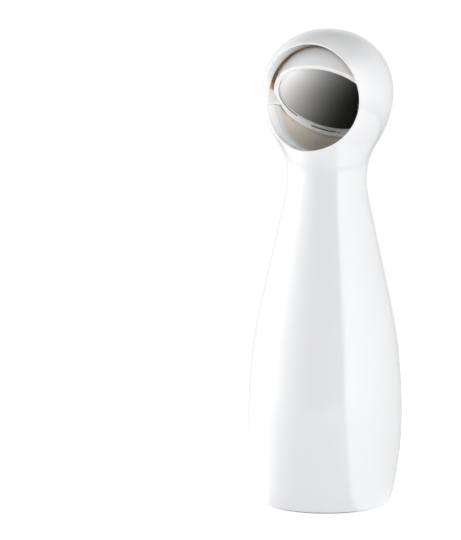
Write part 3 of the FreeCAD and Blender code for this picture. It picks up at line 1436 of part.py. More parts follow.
casing()
mirrorBowl()
mirrorFrame()
mirrorDome()
mirrorGlass()
mirrorPad()
pivotWashers()
laserHolder()
laserParts()
ballSeat()
ballCap()
seatScrews()
orbitGear()
pinionTop = layerThree + s.orbitThick + s.layerGap
compoundGear("transfer_gear", layerTwo, pinionTop, transferX, transferY, transferPhase)
compoundGear("reduction_gear", layerOne, layerTwo + s.wheelThick, reductionX, reductionY, reductionPhase)
gearAxles()
gearPlate()
gearCover()
gearScrews()
motor()
mainBoard()
boardParts()
boardScrews()
powerButton(casingForm("proud_form", -s.buttonProud))
powerCells()
batteryCase()
caseScrews()
terminalPlates()
doorContacts()
basePlate()
baseScrews()
footRing()
batteryDoor()
doc.recompute()

# ---------------------------------------------------------------- checks and export
for thing in doc.Objects:
    if "Invalid" in thing.State or "Error" in thing.State:
        raise RuntimeError("%s: %s" % (thing.Name, thing.State))
for thing in nodes:
    if thing.Shape.isNull() or not thing.Shape.isValid():
        raise RuntimeError("no sound shape: " + thing.Label)
os.makedirs("parts", exist_ok=True)
for thing in nodes:
    thing.Shape.exportStep("parts/%s.step" % thing.Label)
    print("%-18s solids %d  volume %9.1f" % (thing.Label, len(thing.Shape.Solids), thing.Shape.Volume))
print(len(nodes), "sub-parts")
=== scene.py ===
import json
import math
import bmesh
import bpy
import numpy as np
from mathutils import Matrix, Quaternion, Vector

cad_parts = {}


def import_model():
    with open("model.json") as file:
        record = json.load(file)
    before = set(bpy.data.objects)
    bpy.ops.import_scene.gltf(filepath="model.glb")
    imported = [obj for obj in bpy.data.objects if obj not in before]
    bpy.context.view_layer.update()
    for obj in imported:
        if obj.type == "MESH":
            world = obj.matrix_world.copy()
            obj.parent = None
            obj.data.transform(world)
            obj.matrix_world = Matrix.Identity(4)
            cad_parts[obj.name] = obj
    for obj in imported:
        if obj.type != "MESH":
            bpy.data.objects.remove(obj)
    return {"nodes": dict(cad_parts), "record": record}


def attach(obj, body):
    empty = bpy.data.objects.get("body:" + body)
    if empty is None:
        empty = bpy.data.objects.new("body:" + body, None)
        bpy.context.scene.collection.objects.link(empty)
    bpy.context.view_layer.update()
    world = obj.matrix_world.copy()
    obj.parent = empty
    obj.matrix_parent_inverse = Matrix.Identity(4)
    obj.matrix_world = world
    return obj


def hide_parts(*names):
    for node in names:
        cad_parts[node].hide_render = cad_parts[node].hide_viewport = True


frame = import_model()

mm = 0.001
mend = {"weld": 1e-7, "sliver": 1e-8, "digits": 7}  # metres, and the decimals that tell two points apart
nodes = frame["nodes"]
bodies = frame["record"]["behaviour"]["bodies"]
bodyOf = {node: body for body, members in bodies.items() for node in members}
slotOf = {part["node"]: part["material_slot"] for part in frame["record"]["subparts"]}
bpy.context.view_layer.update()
print("frame loaded:", len(nodes), "nodes")

# the casing's outline as arcs, in millimetres
outline = {
    "height": 228.0, "capRadius": 54.0, "headRadius": 31.4, "headLevel": 198.5, "cheekRadius": 44.0,
    "neckRadius": 19.1, "neckLevel": 157.5, "throatRadius": 46.0, "flankRadius": 262.19,
    "bellyRadius": 37.4, "bellyLevel": 42.0, "baseRadius": 32.4, "skirtLevel": 1.0,
}


def casingZones(o):
    # from the top down: lowest level, arc centre, arc radius (negative where the outline is hollow);
    # the straight flank has its top point and its outward direction in their place
    drop = o["headLevel"] - o["height"] + o["capRadius"]
    narrowing = o["capRadius"] - o["headRadius"]
    brow = (o["capRadius"] ** 2 - o["headRadius"] ** 2 - drop ** 2) / (2 * narrowing)
    cap = Vector((0, o["height"] - o["capRadius"]))
    browCentre = Vector((o["headRadius"] - brow, o["headLevel"]))
    cheek = Vector((o["headRadius"] - o["cheekRadius"], o["headLevel"]))
    across = o["neckRadius"] - cheek.x
    down = o["neckLevel"] - o["headLevel"]
    nape = (across ** 2 + down ** 2 - o["cheekRadius"] ** 2) / (2 * (o["cheekRadius"] - across))
    napeCentre = Vector((o["neckRadius"] + nape, o["neckLevel"]))
    throat = Vector((o["neckRadius"] + o["throatRadius"], o["neckLevel"]))
    flank = Vector((o["bellyRadius"] - o["flankRadius"], o["bellyLevel"]))
    stance = o["bellyRadius"] - o["baseRadius"]
    rise = o["bellyLevel"] - o["skirtLevel"]
    foot = (stance ** 2 + rise ** 2) / (2 * stance)
    footCentre = Vector((o["bellyRadius"] - foot, o["bellyLevel"]))
    between = throat - flank
    cross = math.acos((o["flankRadius"] + o["throatRadius"]) / between.length)
    lean = math.atan2(between.y, between.x) - cross
    outward = Vector((math.cos(lean), math.sin(lean)))
    browEnd = cap + (browCentre - cap).normalized() * o["capRadius"]
    cheekEnd = cheek + (napeCentre - cheek).normalized() * o["cheekRadius"]
    throatEnd = throat - outward * o["throatRadius"]
    flankTop = flank + outward * o["flankRadius"]
    return [
        (browEnd.y, cap, o["capRadius"]),
        (o["headLevel"], browCentre, brow),
        (cheekEnd.y, cheek, o["cheekRadius"]),
        (o["neckLevel"], napeCentre, -nape),
        (throatEnd.y, throat, -o["throatRadius"]),
        (flankTop.y, throatEnd, outward),
        (o["bellyLevel"], flank, o["flankRadius"]),
        (0, footCentre, foot),
    ]


zones = casingZones(outline)


def surfaceAt(level):
    # radius of the casing at a level, and how the outward normal divides between radius and level
    for low, centre, radius in zones:
        if level >= low:
            break
    if isinstance(radius, Vector):
        return centre.x - (level - centre.y) * radius.y / radius.x, radius
    rise = max(-abs(radius), min(abs(radius), level - centre.y))
    reach = math.sqrt(max(radius * radius - rise * rise, 0))
    if radius > 0:
        return centre.x + reach, Vector((reach, rise)) / radius
    return centre.x - reach, Vector((reach, -rise)) / -radius


def placed(name, data):
    # a new object in the scene
    piece = bpy.data.objects.new(name, data)
    bpy.context.scene.collection.objects.link(piece)
    return piece


def merged(node, name):
    # a welded copy of a CAD node's loose triangles
    mesh = nodes[node].data.copy()
    mesh.name = name
    bm = bmesh.new()
    bm.from_mesh(mesh)
    bmesh.ops.remove_doubles(bm, verts=bm.verts, dist=mend["weld"])
    bmesh.ops.dissolve_degenerate(bm, edges=bm.edges, dist=mend["sliver"])
    bm.to_mesh(mesh)
    bm.free()
    return placed(name, mesh)


def smooth(piece, degrees):
    mesh = piece.data
    mesh.polygons.foreach_set("use_smooth", [True] * len(mesh.polygons))
    mesh.set_sharp_from_angle(angle=math.radians(degrees))
    return piece


def turnNormals(mesh, given):
    # the corners named in given take those normals, and the rest keep their own
    mesh.normals_split_custom_set([tuple(given.get(index, corner.vector))
                                   for index, corner in enumerate(mesh.corner_normals)])


def cutFiner(bm, edges):
    # halves the edges and gives the new points
    made = bmesh.ops.subdivide_edges(bm, edges=edges, cuts=1)
    return [v for v in made["geom_inner"] if isinstance(v, bmesh.types.BMVert)]


def allTriangles(bm):
    bmesh.ops.triangulate(bm, faces=[f for f in bm.faces if len(f.verts) > 3])


def spotOf(co):
    # a point's place as a key, in metres
    return tuple(round(c, mend["digits"]) for c in co)


def settle(piece, node, material):
    # the piece takes the node's place, body and slot
    piece.data.materials.clear()
    piece.data.materials.append(material)
    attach(piece, bodyOf[node])
    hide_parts(node)
    return piece


# materials: added() makes any node, and the short functions after it the ones used most
def newGroup(name, inputs, outputs):
    group = bpy.data.node_groups.new(name, "ShaderNodeTree")
    for label, kind, value in inputs:
        socket = group.interface.new_socket(label, in_out="INPUT", socket_type=kind)
        if value is not None:
            socket.default_value = value
    for label, kind in outputs:
        group.interface.new_socket(label, in_out="OUTPUT", socket_type=kind)
    return group, group.nodes.new("NodeGroupInput"), group.nodes.new("NodeGroupOutput")


def feed(tree, node, values):
    # each input takes a link or a fixed value, and a multiple input a list of links
    for label, value in values.items():
        socket = node.inputs[label]
        for source in value if isinstance(value, list) else [value]:
            if isinstance(source, bpy.types.NodeSocket):
                tree.links.new(source, socket)
            elif socket.type == "RGBA":
                socket.default_value = (*source, 1)
            else:
                socket.default_value = source


def added(tree, kind, values=None, result=0, **settings):
    # a new node, set up and fed; gives one of its outputs
    node = tree.nodes.new(kind)
    for label, value in settings.items():
        setattr(node, label, value)
    feed(tree, node, values or {})
    return node.outputs[result]


def maths(tree, operation, *values, clamp=False):
    return added(tree, "ShaderNodeMath", dict(enumerate(values)), operation=operation, use_clamp=clamp)


def vectors(tree, operation, *values):
    result = "Value" if operation in ("DOT_PRODUCT", "LENGTH") else "Vector"
    return added(tree, "ShaderNodeVectorMath", dict(enumerate(values)), result, operation=operation)


def scaled(tree, colour, factor):
    return added(tree, "ShaderNodeVectorMath", {0: colour, "Scale": factor}, operation="SCALE")


def blend(tree, mask, first, last):
    # the first colour where the mask is 0 and the last where it is 1
    return added(tree, "ShaderNodeMix", {0: mask, 6: first, 7: last}, 2, data_type="RGBA")


def spread(tree, value, low, high, kind="LINEAR"):
    # 0 to 1 from one level to the other
    values = {"Value": value, "From Min": low, "From Max": high}
    return added(tree, "ShaderNodeMapRange", values, interpolation_type=kind)


def ramp(tree, value, stops):
    # a colour ramp through stops of place and colour
    node = tree.nodes.new("ShaderNodeValToRGB")
    elements = node.color_ramp.elements
    for index, (spot, colour) in enumerate(stops):
        inner = 0 < index < len(stops) - 1
        stop = elements.new(spot) if inner else elements[-1 if index else 0]
        stop.position = spot
        stop.color = (*colour, 1)
    tree.links.new(value, node.inputs["Fac"])
    return node.outputs["Color"]


def noise(tree, place, scale, detail):
    return added(tree, "ShaderNodeTexNoise", {"Vector": place, "Scale": scale, "Detail": detail}, "Fac")


def axes(tree, vector):
    # the three parts of a vector, by letter
    node = tree.nodes.new("ShaderNodeSeparateXYZ")
    tree.links.new(vector, node.inputs[0])
    return node.outputs


def mouldedFinish(c):
    # faint orange peel, haze and colour drift of a moulded plastic skin
    group, start, end = newGroup("mouldedFinish", [
        ("Colour", "NodeSocketColor", (0.8, 0.8, 0.8, 1)), ("Roughness", "NodeSocketFloat", 0.2),
        ("Haze", "NodeSocketFloat", 0.04), ("Drift", "NodeSocketFloat", 0.02),
        ("Peel", "NodeSocketFloat", 0.02),
    ], [("Colour", "NodeSocketColor"), ("Roughness", "NodeSocketFloat"), ("Normal", "NodeSocketVector")])
    given = start.outputs
    place = added(group, "ShaderNodeTexCoord", result="Object")
    cloud = noise(group, place, *c["cloud"])
    grain = noise(group, place, *c["grain"])
    drift = maths(group, "MULTIPLY_ADD", maths(group, "SUBTRACT", cloud, 0.5), given["Drift"], 1)
    bump = {"Distance": c["peelDepth"], "Height": grain, "Strength": given["Peel"]}
    feed(group, end, {
        "Colour": scaled(group, given["Colour"], drift),
        "Roughness": maths(group, "MULTIPLY_ADD", cloud, given["Haze"], given["Roughness"]),
        "Normal": added(group, "ShaderNodeBump", bump),
    })
    return group


def brushedFinish(c):
    # fine turning or drawing marks on metal, along one axis
    group, start, end = newGroup("brushedFinish", [
        ("Colour", "NodeSocketColor", (0.6, 0.6, 0.6, 1)), ("Roughness", "NodeSocketFloat", 0.3),
        ("Marks", "NodeSocketFloat", 0.15),
    ], [("Colour", "NodeSocketColor"), ("Roughness", "NodeSocketFloat"), ("Normal", "NodeSocketVector")])
    given = start.outputs
    place = added(group, "ShaderNodeTexCoord", result="Object")
    place = added(group, "ShaderNodeMapping", {"Vector": place, "Scale": c["stretch"]})
    marks = noise(group, place, *c["marks"])
    dull = maths(group, "MULTIPLY_ADD", marks, -c["dulling"], 1 + c["dulling"] / 2)
    bump = {"Distance": c["markDepth"], "Strength": c["markStrength"], "Height": marks}
    feed(group, end, {
        "Colour": scaled(group, given["Colour"], dull),
        "Roughness": maths(group, "MULTIPLY_ADD", marks, given["Marks"], given["Roughness"]),
        "Normal": added(group, "ShaderNodeBump", bump),
    })
    return group


# the scale and detail of each noise, and depths in metres
moulding = {"cloud": (38, 3), "grain": (900, 2), "peelDepth": 0.00002}
turning = {"stretch": (90, 90, 5200), "marks": (1, 3), "dulling": 0.12, "markDepth": 0.00001,
           "markStrength": 0.3}
moulded = mouldedFinish(moulding)
brushed = brushedFinish(turning)


def newMaterial(name):
    material = bpy.data.materials.new(name)
    material.use_nodes = True
    tree = material.node_tree
    return material, tree, tree.nodes["Principled BSDF"]


def finish(name, group, values, **sockets):
    material, tree, shader = newMaterial(name)
    effect = tree.nodes.new("ShaderNodeGroup")
    effect.name = "effect"
    effect.node_tree = group
    feed(tree, effect, values)
    feed(tree, shader, {"Base Color": effect.outputs["Colour"], "Roughness": effect.outputs["Roughness"],
                        "Normal": effect.outputs["Normal"]})
    feed(tree, shader, {label.replace("_", " "): value for label, value in sockets.items()})
    return material


def plastic(name, colour, roughness=0.3, peel=0.05, haze=0.05, drift=0.03, **sockets):
    values = {"Colour": colour, "Roughness": roughness, "Haze": haze, "Drift": drift, "Peel": peel}
    return finish(name, moulded, values, **sockets)


def metal(name, colour, roughness=0.28, marks=0.15):
    values = {"Colour": colour, "Roughness": roughness, "Marks": marks}
    return finish(name, brushed, values, Metallic=1.0)


gloss = {
    "colour": (0.80, 0.805, 0.815), "roughness": 0.12, "peel": 0.01, "haze": 0.03, "drift": 0.01,
    "Coat_Weight": 1.0, "Coat_Roughness": 0.03,
}


def paintedShadeGrade(name, roughness, axis, start, end, first, last):
    # a moulded finish whose colour changes along one axis of the toy; it carries painted light and shade
    material = plastic(name, first, roughness)
    tree = material.node_tree
    parts = axes(tree, added(tree, "ShaderNodeTexCoord", result="Object"))
    mask = spread(tree, parts[axis], start * mm, end * mm, "SMOOTHSTEP")
    feed(tree, tree.nodes["effect"], {"Colour": blend(tree, mask, first, last)})
    return material


# the mirror's painted reflection: its direction across the glass, its stops and tint, the share of it in the
# base colour, and the strength of its painted glow
mirror = {
    "middle": (0, 0, 194.4), "paintedGrade": (4.71, 3.33, -2.27), "level": 117.0, "span": 255, "stops": 12,
    "power": 2.9, "tint": (1, 0.985, 0.97), "paintedReflection": 0.2, "paintedGlow": 0.7, "roughness": 0.5,
}


def paintedMirror(c):
    # silvered glass with a painted reflection that goes from pale to black across the disc, and a painted
    # glow of that same grade, though the glass is no lamp
    material, tree, shader = newMaterial("mirrorPaintedReflection")
    place = added(tree, "ShaderNodeTexCoord", result="Object")
    place = vectors(tree, "SUBTRACT", place, Vector(c["middle"]) * mm)
    paintedGrade = vectors(tree, "DOT_PRODUCT", place, Vector(c["paintedGrade"]) / mm)
    spots = [index / (c["stops"] - 1) for index in range(c["stops"])]
    stops = [(spot, [share * spot ** c["power"] for share in c["tint"]]) for spot in spots]
    paintedReflection = ramp(tree, spread(tree, paintedGrade, c["level"], c["level"] - c["span"]), stops)
    # the base colour takes a share of the painted reflection, and the emission makes the same painted grade
    # glow
    feed(tree, shader, {
        "Base Color": scaled(tree, paintedReflection, c["paintedReflection"]), "Metallic": 1, "Roughness": c["roughness"],
        "Emission Color": paintedReflection, "Emission Strength": c["paintedGlow"],
    })
    return material


def lensFinish():
    material, tree, shader = newMaterial("lensGlass")
    values = {"Base Color": (0.85, 0.9, 0.95), "Transmission Weight": 1, "Roughness": 0.02, "IOR": 1.5}
    feed(tree, shader, values)
    return material


finishes = {
    "casing_white": plastic("casingWhite", **gloss),
    "button_grey": plastic("buttonGrey", (0.55, 0.56, 0.58), 0.22, 0.03),
    # the liner's painted light and shade: painted light blue-grey at its front, painted taupe shade further
    # back under the mirror
    "liner_ivory": paintedShadeGrade("linerPaintedShade", 0.35, "Y", -1.0, 2.5,
                                (0.83, 0.855, 0.865), (0.74, 0.68, 0.60)),
    "tray_white": plastic("trayWhite", (0.93, 0.925, 0.915), 0.25, 0.02),
    "pad_foam": plastic("padFoam", (0.05, 0.05, 0.05), 0.9, 0.8),
    "washer_silicone": plastic("washerSilicone", (0.55, 0.54, 0.50), 0.5, 0.1),
    "inner_black": plastic("innerBlack", (0.03, 0.03, 0.035), 0.45, 0.2),
    "inner_grey": plastic("innerGrey", (0.30, 0.31, 0.32), 0.5, 0.2),
    "gear_acetal": plastic("gearAcetal", (0.78, 0.76, 0.68), 0.4, 0.1),
    "motor_steel": metal("motorSteel", (0.58, 0.58, 0.59), 0.32),
    "steel": metal("screwSteel", (0.55, 0.55, 0.56), 0.25),
    "brass": metal("barrelBrass", (0.72, 0.55, 0.25), 0.22),
    "armature_steel": metal("armatureSteel", (0.30, 0.22, 0.16), 0.45),
    "board_green": plastic("boardGreen", (0.02, 0.16, 0.07), 0.35, 0.1),
    "capacitor_can": metal("capacitorCan", (0.35, 0.36, 0.40), 0.35),
    "cell_can": plastic("cellFoil", (0.05, 0.06, 0.07), 0.3, 0.05, Coat_Weight=0.4),
    "nickel": metal("contactNickel", (0.66, 0.65, 0.62), 0.2, 0.08),
    "lead_insulation": plastic("leadInsulation", (0.45, 0.02, 0.02), 0.4, 0.05),
    # black painted shade for the back of the lip's slot and the shadow line low on the lip's left wall
    "slot_dark": plastic("slotPaintedShade", (0.02, 0.02, 0.022), 0.6),
    "foot_rubber": plastic("footRubber", (0.42, 0.42, 0.43), 0.7, 0.4),
    # the mirror takes the painted reflection and painted glow
    "mirror_silver": paintedMirror(mirror),
    "lens_glass": lensFinish(),
}
print("materials made:", len(finishes))

# casing shells: welded, cut finer, laid exactly on the outline, with a rounded rim and a seam; each snap
# says how close to a surface a point has to be to count as on it
casing = {
    "opening": 24.8, "openingLevel": 194.2, "split": 8.0, "seamWidth": 0.3, "seamDepth": 0.2,
    "rimRadius": 0.5, "rimReach": 1.5, "rimRound": 2, "rimStep": 0.26, "skinStep": 2.2, "rounds": 6,
    "snap": 0.005, "rimSnap": 0.02, "wallSnap": 0.03, "wallLean": 0.05, "splitSnap": 0.001, "slope": 0.05,
    "facing": 0.7, "pole": 2, "axis": 1e-6, "crease": 30,
}
# painted light and shade inside the head: where the recess and the opening's wall are, a lighter colour and
# glows, and above the lugs a brown painted shade
headPaint = {
    "reach": 27.4, "inward": 4, "front": -14.28, "level": 199.5, "lug": 192, "wallRoom": 0.1,
    "paintedWallLight": (0.95, 0.95, 0.945), "paintedGapShade": (0.85, 0.62, 0.44),
    "paintedLugGlow": 0.22, "paintedWallGlow": 0.15, "paintedGapGlow": 0.09,
}


def paintedHeadCasing(name, c):
    # the casing's white, with painted light on the walls inside the head and on the lugs (a lighter colour
    # and a glow, though no lamp is there), and painted brown shade in the gap above the lugs
    material = plastic(name, **gloss)
    tree = material.node_tree
    coords = tree.nodes.new("ShaderNodeTexCoord").outputs
    parts = axes(tree, coords["Object"])
    flat = vectors(tree, "MULTIPLY", coords["Object"], (1, 0, 1))
    spoke = vectors(tree, "SUBTRACT", flat, (0, 0, casing["openingLevel"] * mm))
    across = vectors(tree, "LENGTH", spoke)
    facing = vectors(tree, "DOT_PRODUCT", coords["Normal"], spoke)
    inward = maths(tree, "LESS_THAN", facing, c["inward"] * mm)
    near = maths(tree, "MULTIPLY", maths(tree, "LESS_THAN", across, c["reach"] * mm), inward)
    recess = maths(tree, "MULTIPLY", near, maths(tree, "GREATER_THAN", parts["Y"], c["front"] * mm))
    shadePaintedGap = maths(tree, "MULTIPLY", recess, maths(tree, "GREATER_THAN", parts["Z"], c["level"] * mm))
    wall = maths(tree, "LESS_THAN", across, (casing["opening"] + c["wallRoom"]) * mm)
    lug = maths(tree, "GREATER_THAN", parts["Z"], c["lug"] * mm)
    # painted glow: stronger above the lug level, weaker lower on the walls, and faint in the brown shaded
    # gap
    glow = maths(tree, "MULTIPLY_ADD", lug, c["paintedLugGlow"], c["paintedWallGlow"])
    glow = maths(tree, "MULTIPLY", glow, maths(tree, "SUBTRACT", recess, shadePaintedGap))
    glow = maths(tree, "MULTIPLY_ADD", shadePaintedGap, c["paintedGapGlow"], glow)
    # painted light colour on the walls and in the recess, then painted brown shade in the gap
    colour = blend(tree, maths(tree, "MAXIMUM", wall, recess), gloss["colour"], c["paintedWallLight"])
    colour = blend(tree, shadePaintedGap, colour, c["paintedGapShade"])
    feed(tree, tree.nodes["effect"], {"Colour": colour})
    feed(tree, tree.nodes["Principled BSDF"], {"Emission Color": scaled(tree, colour, glow),
                                               "Emission Strength": 1})
    return material


def onCasing(co):
    r, way = surfaceAt(co.z / mm)
    return abs(math.hypot(co.x, co.y) - r * mm) * max(abs(way.x), casing["slope"]) < casing["snap"] * mm


def casingNormal(co):
    r, way = surfaceAt(co.z / mm)
    flat = math.hypot(co.x, co.y)
    if flat < casing["axis"]:
        return Vector((0, 0, 1))
    return Vector((co.x / flat * way.x, co.y / flat * way.x, way.y))


def toCasing(v, onSplit, onRim):
    # lays a new point on the outline, on the parting plane or on the rim where it belongs
    level = v.co.z / mm
    if onRim:
        dx, dz = v.co.x / mm, level - casing["openingLevel"]
        grow = casing["opening"] / math.hypot(dx, dz)
        x, level = dx * grow, casing["openingLevel"] + dz * grow
        r = surfaceAt(level)[0]
        v.co = Vector((x, -math.sqrt(r * r - x * x), level)) * mm
        return
    r = surfaceAt(level)[0] * mm
    if onSplit:
        y = casing["split"] * mm
        v.co.x = math.copysign(math.sqrt(max(r * r - y * y, 0)), v.co.x)
        return
    flat = math.hypot(v.co.x, v.co.y)
    if flat > casing["pole"] * mm:
        v.co.x *= r / flat
        v.co.y *= r / flat


def fromRim(co):
    return math.hypot(co.x / mm, co.z / mm - casing["openingLevel"]) - casing["opening"]


def onRim(v):
    return v.co.y < 0 and abs(fromRim(v.co)) < casing["rimSnap"]


def onSplit(v):
    return abs(v.co.y / mm - casing["split"]) < casing["splitSnap"]


def outerFaces(bm):
    skin = set()
    facing = {v: casingNormal(v.co) for v in bm.verts if onCasing(v.co)}
    for f in bm.faces:
        if all(v in facing for v in f.verts) and f.normal.dot(facing[f.verts[0]]) > casing["facing"]:
            skin.add(f)
    return skin


def refine(bm, step, near):
    # halves the long edges of the skin that near() picks
    for turn in range(casing["rounds"]):
        bm.normal_update()
        skin = outerFaces(bm)
        edges, kinds = [], {}
        for e in bm.edges:
            faces = [f for f in e.link_faces if f in skin]
            if not faces or e.calc_length() <= step * mm or not near(e):
                continue
            rim = len(faces) == 1 and all(onRim(v) for v in e.verts)
            split = len(faces) == 1 and all(onSplit(v) for v in e.verts)
            if len(faces) == 2 or rim or split:
                edges.append(e)
                middle = (e.verts[0].co + e.verts[1].co) / 2
                kinds[spotOf(middle)] = (split, rim)
        if not edges:
            break
        for v in cutFiner(bm, edges):
            toCasing(v, *kinds.get(spotOf(v.co), (False, False)))
        allTriangles(bm)


def rimPoint(co):
    # where a point of the skin near the opening goes on the rim's rounding, and its normal there
    level, rho, wide = casing["openingLevel"], casing["rimRadius"], casing["opening"]
    dx, dz = co.x / mm, co.z / mm - level
    reach = math.hypot(dx, dz)
    ex, ez = dx / reach, dz / reach
    r, way = surfaceAt(level + ez * wide)
    x = ex * wide
    y = -math.sqrt(r * r - x * x)
    normal = Vector((x / r * way.x, y / r * way.x, way.y))
    side = normal.x * ex + normal.z * ez
    along = normal.z * ex - normal.x * ez
    length = math.hypot(side, normal.y)
    side, front = side / length, -normal.y / length
    part = (reach - wide) / (rho * (1 + side))
    if part >= 1:
        return None
    part = max(part, 0)
    turn = -math.pi + part * (math.pi - math.acos(side))
    centreOut, centreIn = wide + rho, y + rho * (1 + side) / front
    out = centreOut + rho * math.cos(turn)
    place = Vector((ex * out, centreIn + rho * math.sin(turn), level + ez * out)) * mm
    tilt = along * part
    flat = math.sqrt(1 - tilt * tilt)
    facing = Vector((ex * math.cos(turn), math.sin(turn), ez * math.cos(turn))) * flat
    return place, facing + Vector((-ez, 0, ex)) * tilt


def wallNormals(mesh):
    # the wall of the opening faces straight at the opening's axis
    given = {}
    for face in mesh.polygons:
        places = [mesh.vertices[v].co for v in face.vertices]
        alongWall = abs(face.normal.y) < casing["wallLean"]
        if alongWall and all(abs(fromRim(p)) < casing["wallSnap"] and p.y < 0 for p in places):
            for index, p in zip(face.loop_indices, places):
                given[index] = Vector((-p.x, 0, casing["openingLevel"] * mm - p.z)).normalized()
    return given


def dressSkin(skin, toFront):
    # the normals of the skin, with the rim rounded and the seam's edge drawn in
    facing, seam = {}, []
    for v in {v for f in skin for v in f.verts}:
        facing[v] = casingNormal(v.co)
        if onSplit(v):
            seam.append(v)
    for v in list(facing) if toFront else []:
        rounded = rimPoint(v.co) if v.co.y < 0 and fromRim(v.co) < casing["rimRound"] else None
        if rounded:
            v.co, facing[v] = rounded
    for v in seam:
        inward = facing.pop(v) * casing["seamDepth"] * mm
        v.co = Vector((v.co.x - inward.x, v.co.y, v.co.z - inward.z))
    return facing


def casingShell(node, name, toFront, material):
    piece = merged(node, name)
    mesh = piece.data
    bm = bmesh.new()
    bm.from_mesh(mesh)
    refine(bm, casing["skinStep"], lambda e: True)
    if toFront:
        reach = casing["rimReach"]
        refine(bm, casing["rimStep"], lambda e: min(abs(fromRim(v.co)) for v in e.verts) < reach
               and max(v.co.y for v in e.verts) < 0)
    side = -1 if toFront else 1
    ring = (casing["split"] + side * casing["seamWidth"]) * mm
    bmesh.ops.bisect_plane(bm, geom=bm.verts[:] + bm.edges[:] + bm.faces[:], dist=mend["weld"],
                           plane_co=(0, ring, 0), plane_no=(0, 1, 0))
    allTriangles(bm)
    bm.normal_update()
    skin = outerFaces(bm)
    facing = dressSkin(skin, toFront)
    bm.verts.index_update()
    bm.faces.index_update()
    bm.normal_update()
    smoothFaces = [f.index for f in skin if all(v in facing for v in f.verts)]
    byVertex = {v.index: n for v, n in facing.items()}
    bm.to_mesh(mesh)
    bm.free()
    smooth(piece, casing["crease"])
    given = {}
    for face in smoothFaces:
        for index in mesh.polygons[face].loop_indices:
            given[index] = byVertex[mesh.loops[index].vertex_index]
    if toFront:
        given.update(wallNormals(mesh))
    turnNormals(mesh, given)
    print(name, len(mesh.polygons), "triangles")
    return settle(piece, node, material)


# the front shell takes the casing white with painted light and shade inside the head
casingShell("front_shell", "casing_front", True, paintedHeadCasing("casingPaintedHead", headPaint))
casingShell("rear_shell", "casing_rear", False, finishes["casing_white"])
print("casing shells done")

# mirror: the tray and its domed back laid on their ball, and the lip that rises round the glass
tray = {
    "pivot": (0, 0.8, 195.6), "ball": 26.8, "tilt": 55.8, "setback": 1.4, "flat": 25.3,
    "planes": (0.5, -3.4), "step": 1.1, "rounds": 5, "snap": 0.004, "facing": 0.7, "crease": 28,
}
pivot = Vector(tray["pivot"])
mirrorTilt = math.radians(tray["tilt"])
trayUp = Vector((0, -math.sin(mirrorTilt), math.cos(mirrorTilt)))
trayOut = Vector((0, -math.cos(mirrorTilt), -math.sin(mirrorTilt)))


def ballPiece(node, name, c, material):
    # a piece whose outside is cut finer and laid exactly on the ball about the pivot
    piece = merged(node, name)
    bm = bmesh.new()
    bm.from_mesh(piece.data)
    centre, reach, snap = pivot * mm, c["ball"] * mm, c["snap"] * mm
    cuts = [(trayOut, (c["setback"] + level) * mm) for level in c["planes"]]
    cuts += [(Vector((side, 0, 0)), c["flat"] * mm) for side in (-1, 1)]

    def skinOf():
        bm.normal_update()
        on = {v for v in bm.verts if abs((v.co - centre).length - reach) < snap}
        return {f for f in bm.faces if all(v in on for v in f.verts)
                and f.normal.dot((f.verts[0].co - centre).normalized()) > c["facing"]}

    for turn in range(c["rounds"]):
        skin = skinOf()
        edges = {}
        for e in bm.edges:
            faces = sum(f in skin for f in e.link_faces)
            if not faces or e.calc_length() < c["step"] * mm:
                continue
            plane = next(((way, far) for way, far in cuts
                          if all(abs((v.co - centre).dot(way) - far) < snap for v in e.verts)), None)
            if faces == 2 or plane:
                middle = (e.verts[0].co + e.verts[1].co) / 2
                edges[e] = (spotOf(middle), plane if faces == 1 else None)
        if not edges:
            break
        planes = dict(edges.values())
        for v in cutFiner(bm, list(edges)):
            plane = planes.get(spotOf(v.co))
            foot = centre + plane[0] * plane[1] if plane else centre
            radius = math.sqrt(reach * reach - plane[1] ** 2) if plane else reach
            v.co = foot + (v.co - foot).normalized() * radius
        allTriangles(bm)
    bm.faces.index_update()
    skin = [f.index for f in skinOf()]
    mesh = piece.data
    bm.to_mesh(mesh)
    bm.free()
    smooth(piece, c["crease"])
    given = {}
    for face in skin:
        for index in mesh.polygons[face].loop_indices:
            given[index] = (mesh.vertices[mesh.loops[index].vertex_index].co - centre).normalized()
    turnNormals(mesh, given)
    return settle(piece, node, material)


def skinned(bm, rings, closed):
    # faces between rings of points; gives each with the number of its ring and its place round the ring
    faces = []
    for index, (one, two) in enumerate(zip(rings, rings[1:] + (rings[:1] if closed else []))):
        for k in range(len(one)):
            j = (k + 1) % len(one)
            faces.append((index, k, bm.faces.new((one[k], two[k], two[j], one[j]))))
    return faces


def newPiece(bm, name, crease, looks):
    # a piece with no CAD node, from its finished points and faces
    bmesh.ops.recalc_face_normals(bm, faces=bm.faces)
    mesh = bpy.data.meshes.new(name)
    bm.to_mesh(mesh)
    bm.free()
    for look in looks:
        mesh.materials.append(finishes[look])
    return smooth(placed(name, mesh), crease)


# the tray's lip: angles in degrees round the glass, heights from the face of the glass
lip = {
    "inner": 24.3, "low": 0.42, "top": 0.55, "rise": 0.057, "round": 0.25, "ease": 0.3, "sides": 300,
    "slots": ((-131, -101), (-99, -96.5)), "slotLow": 1.0, "slotHigh": 2.05, "slotDeep": 1.0, "flush": 0.02,
    "lowRoom": 0.4, "highRoom": 0.35, "groove": (147, -152), "crease": 35,
}


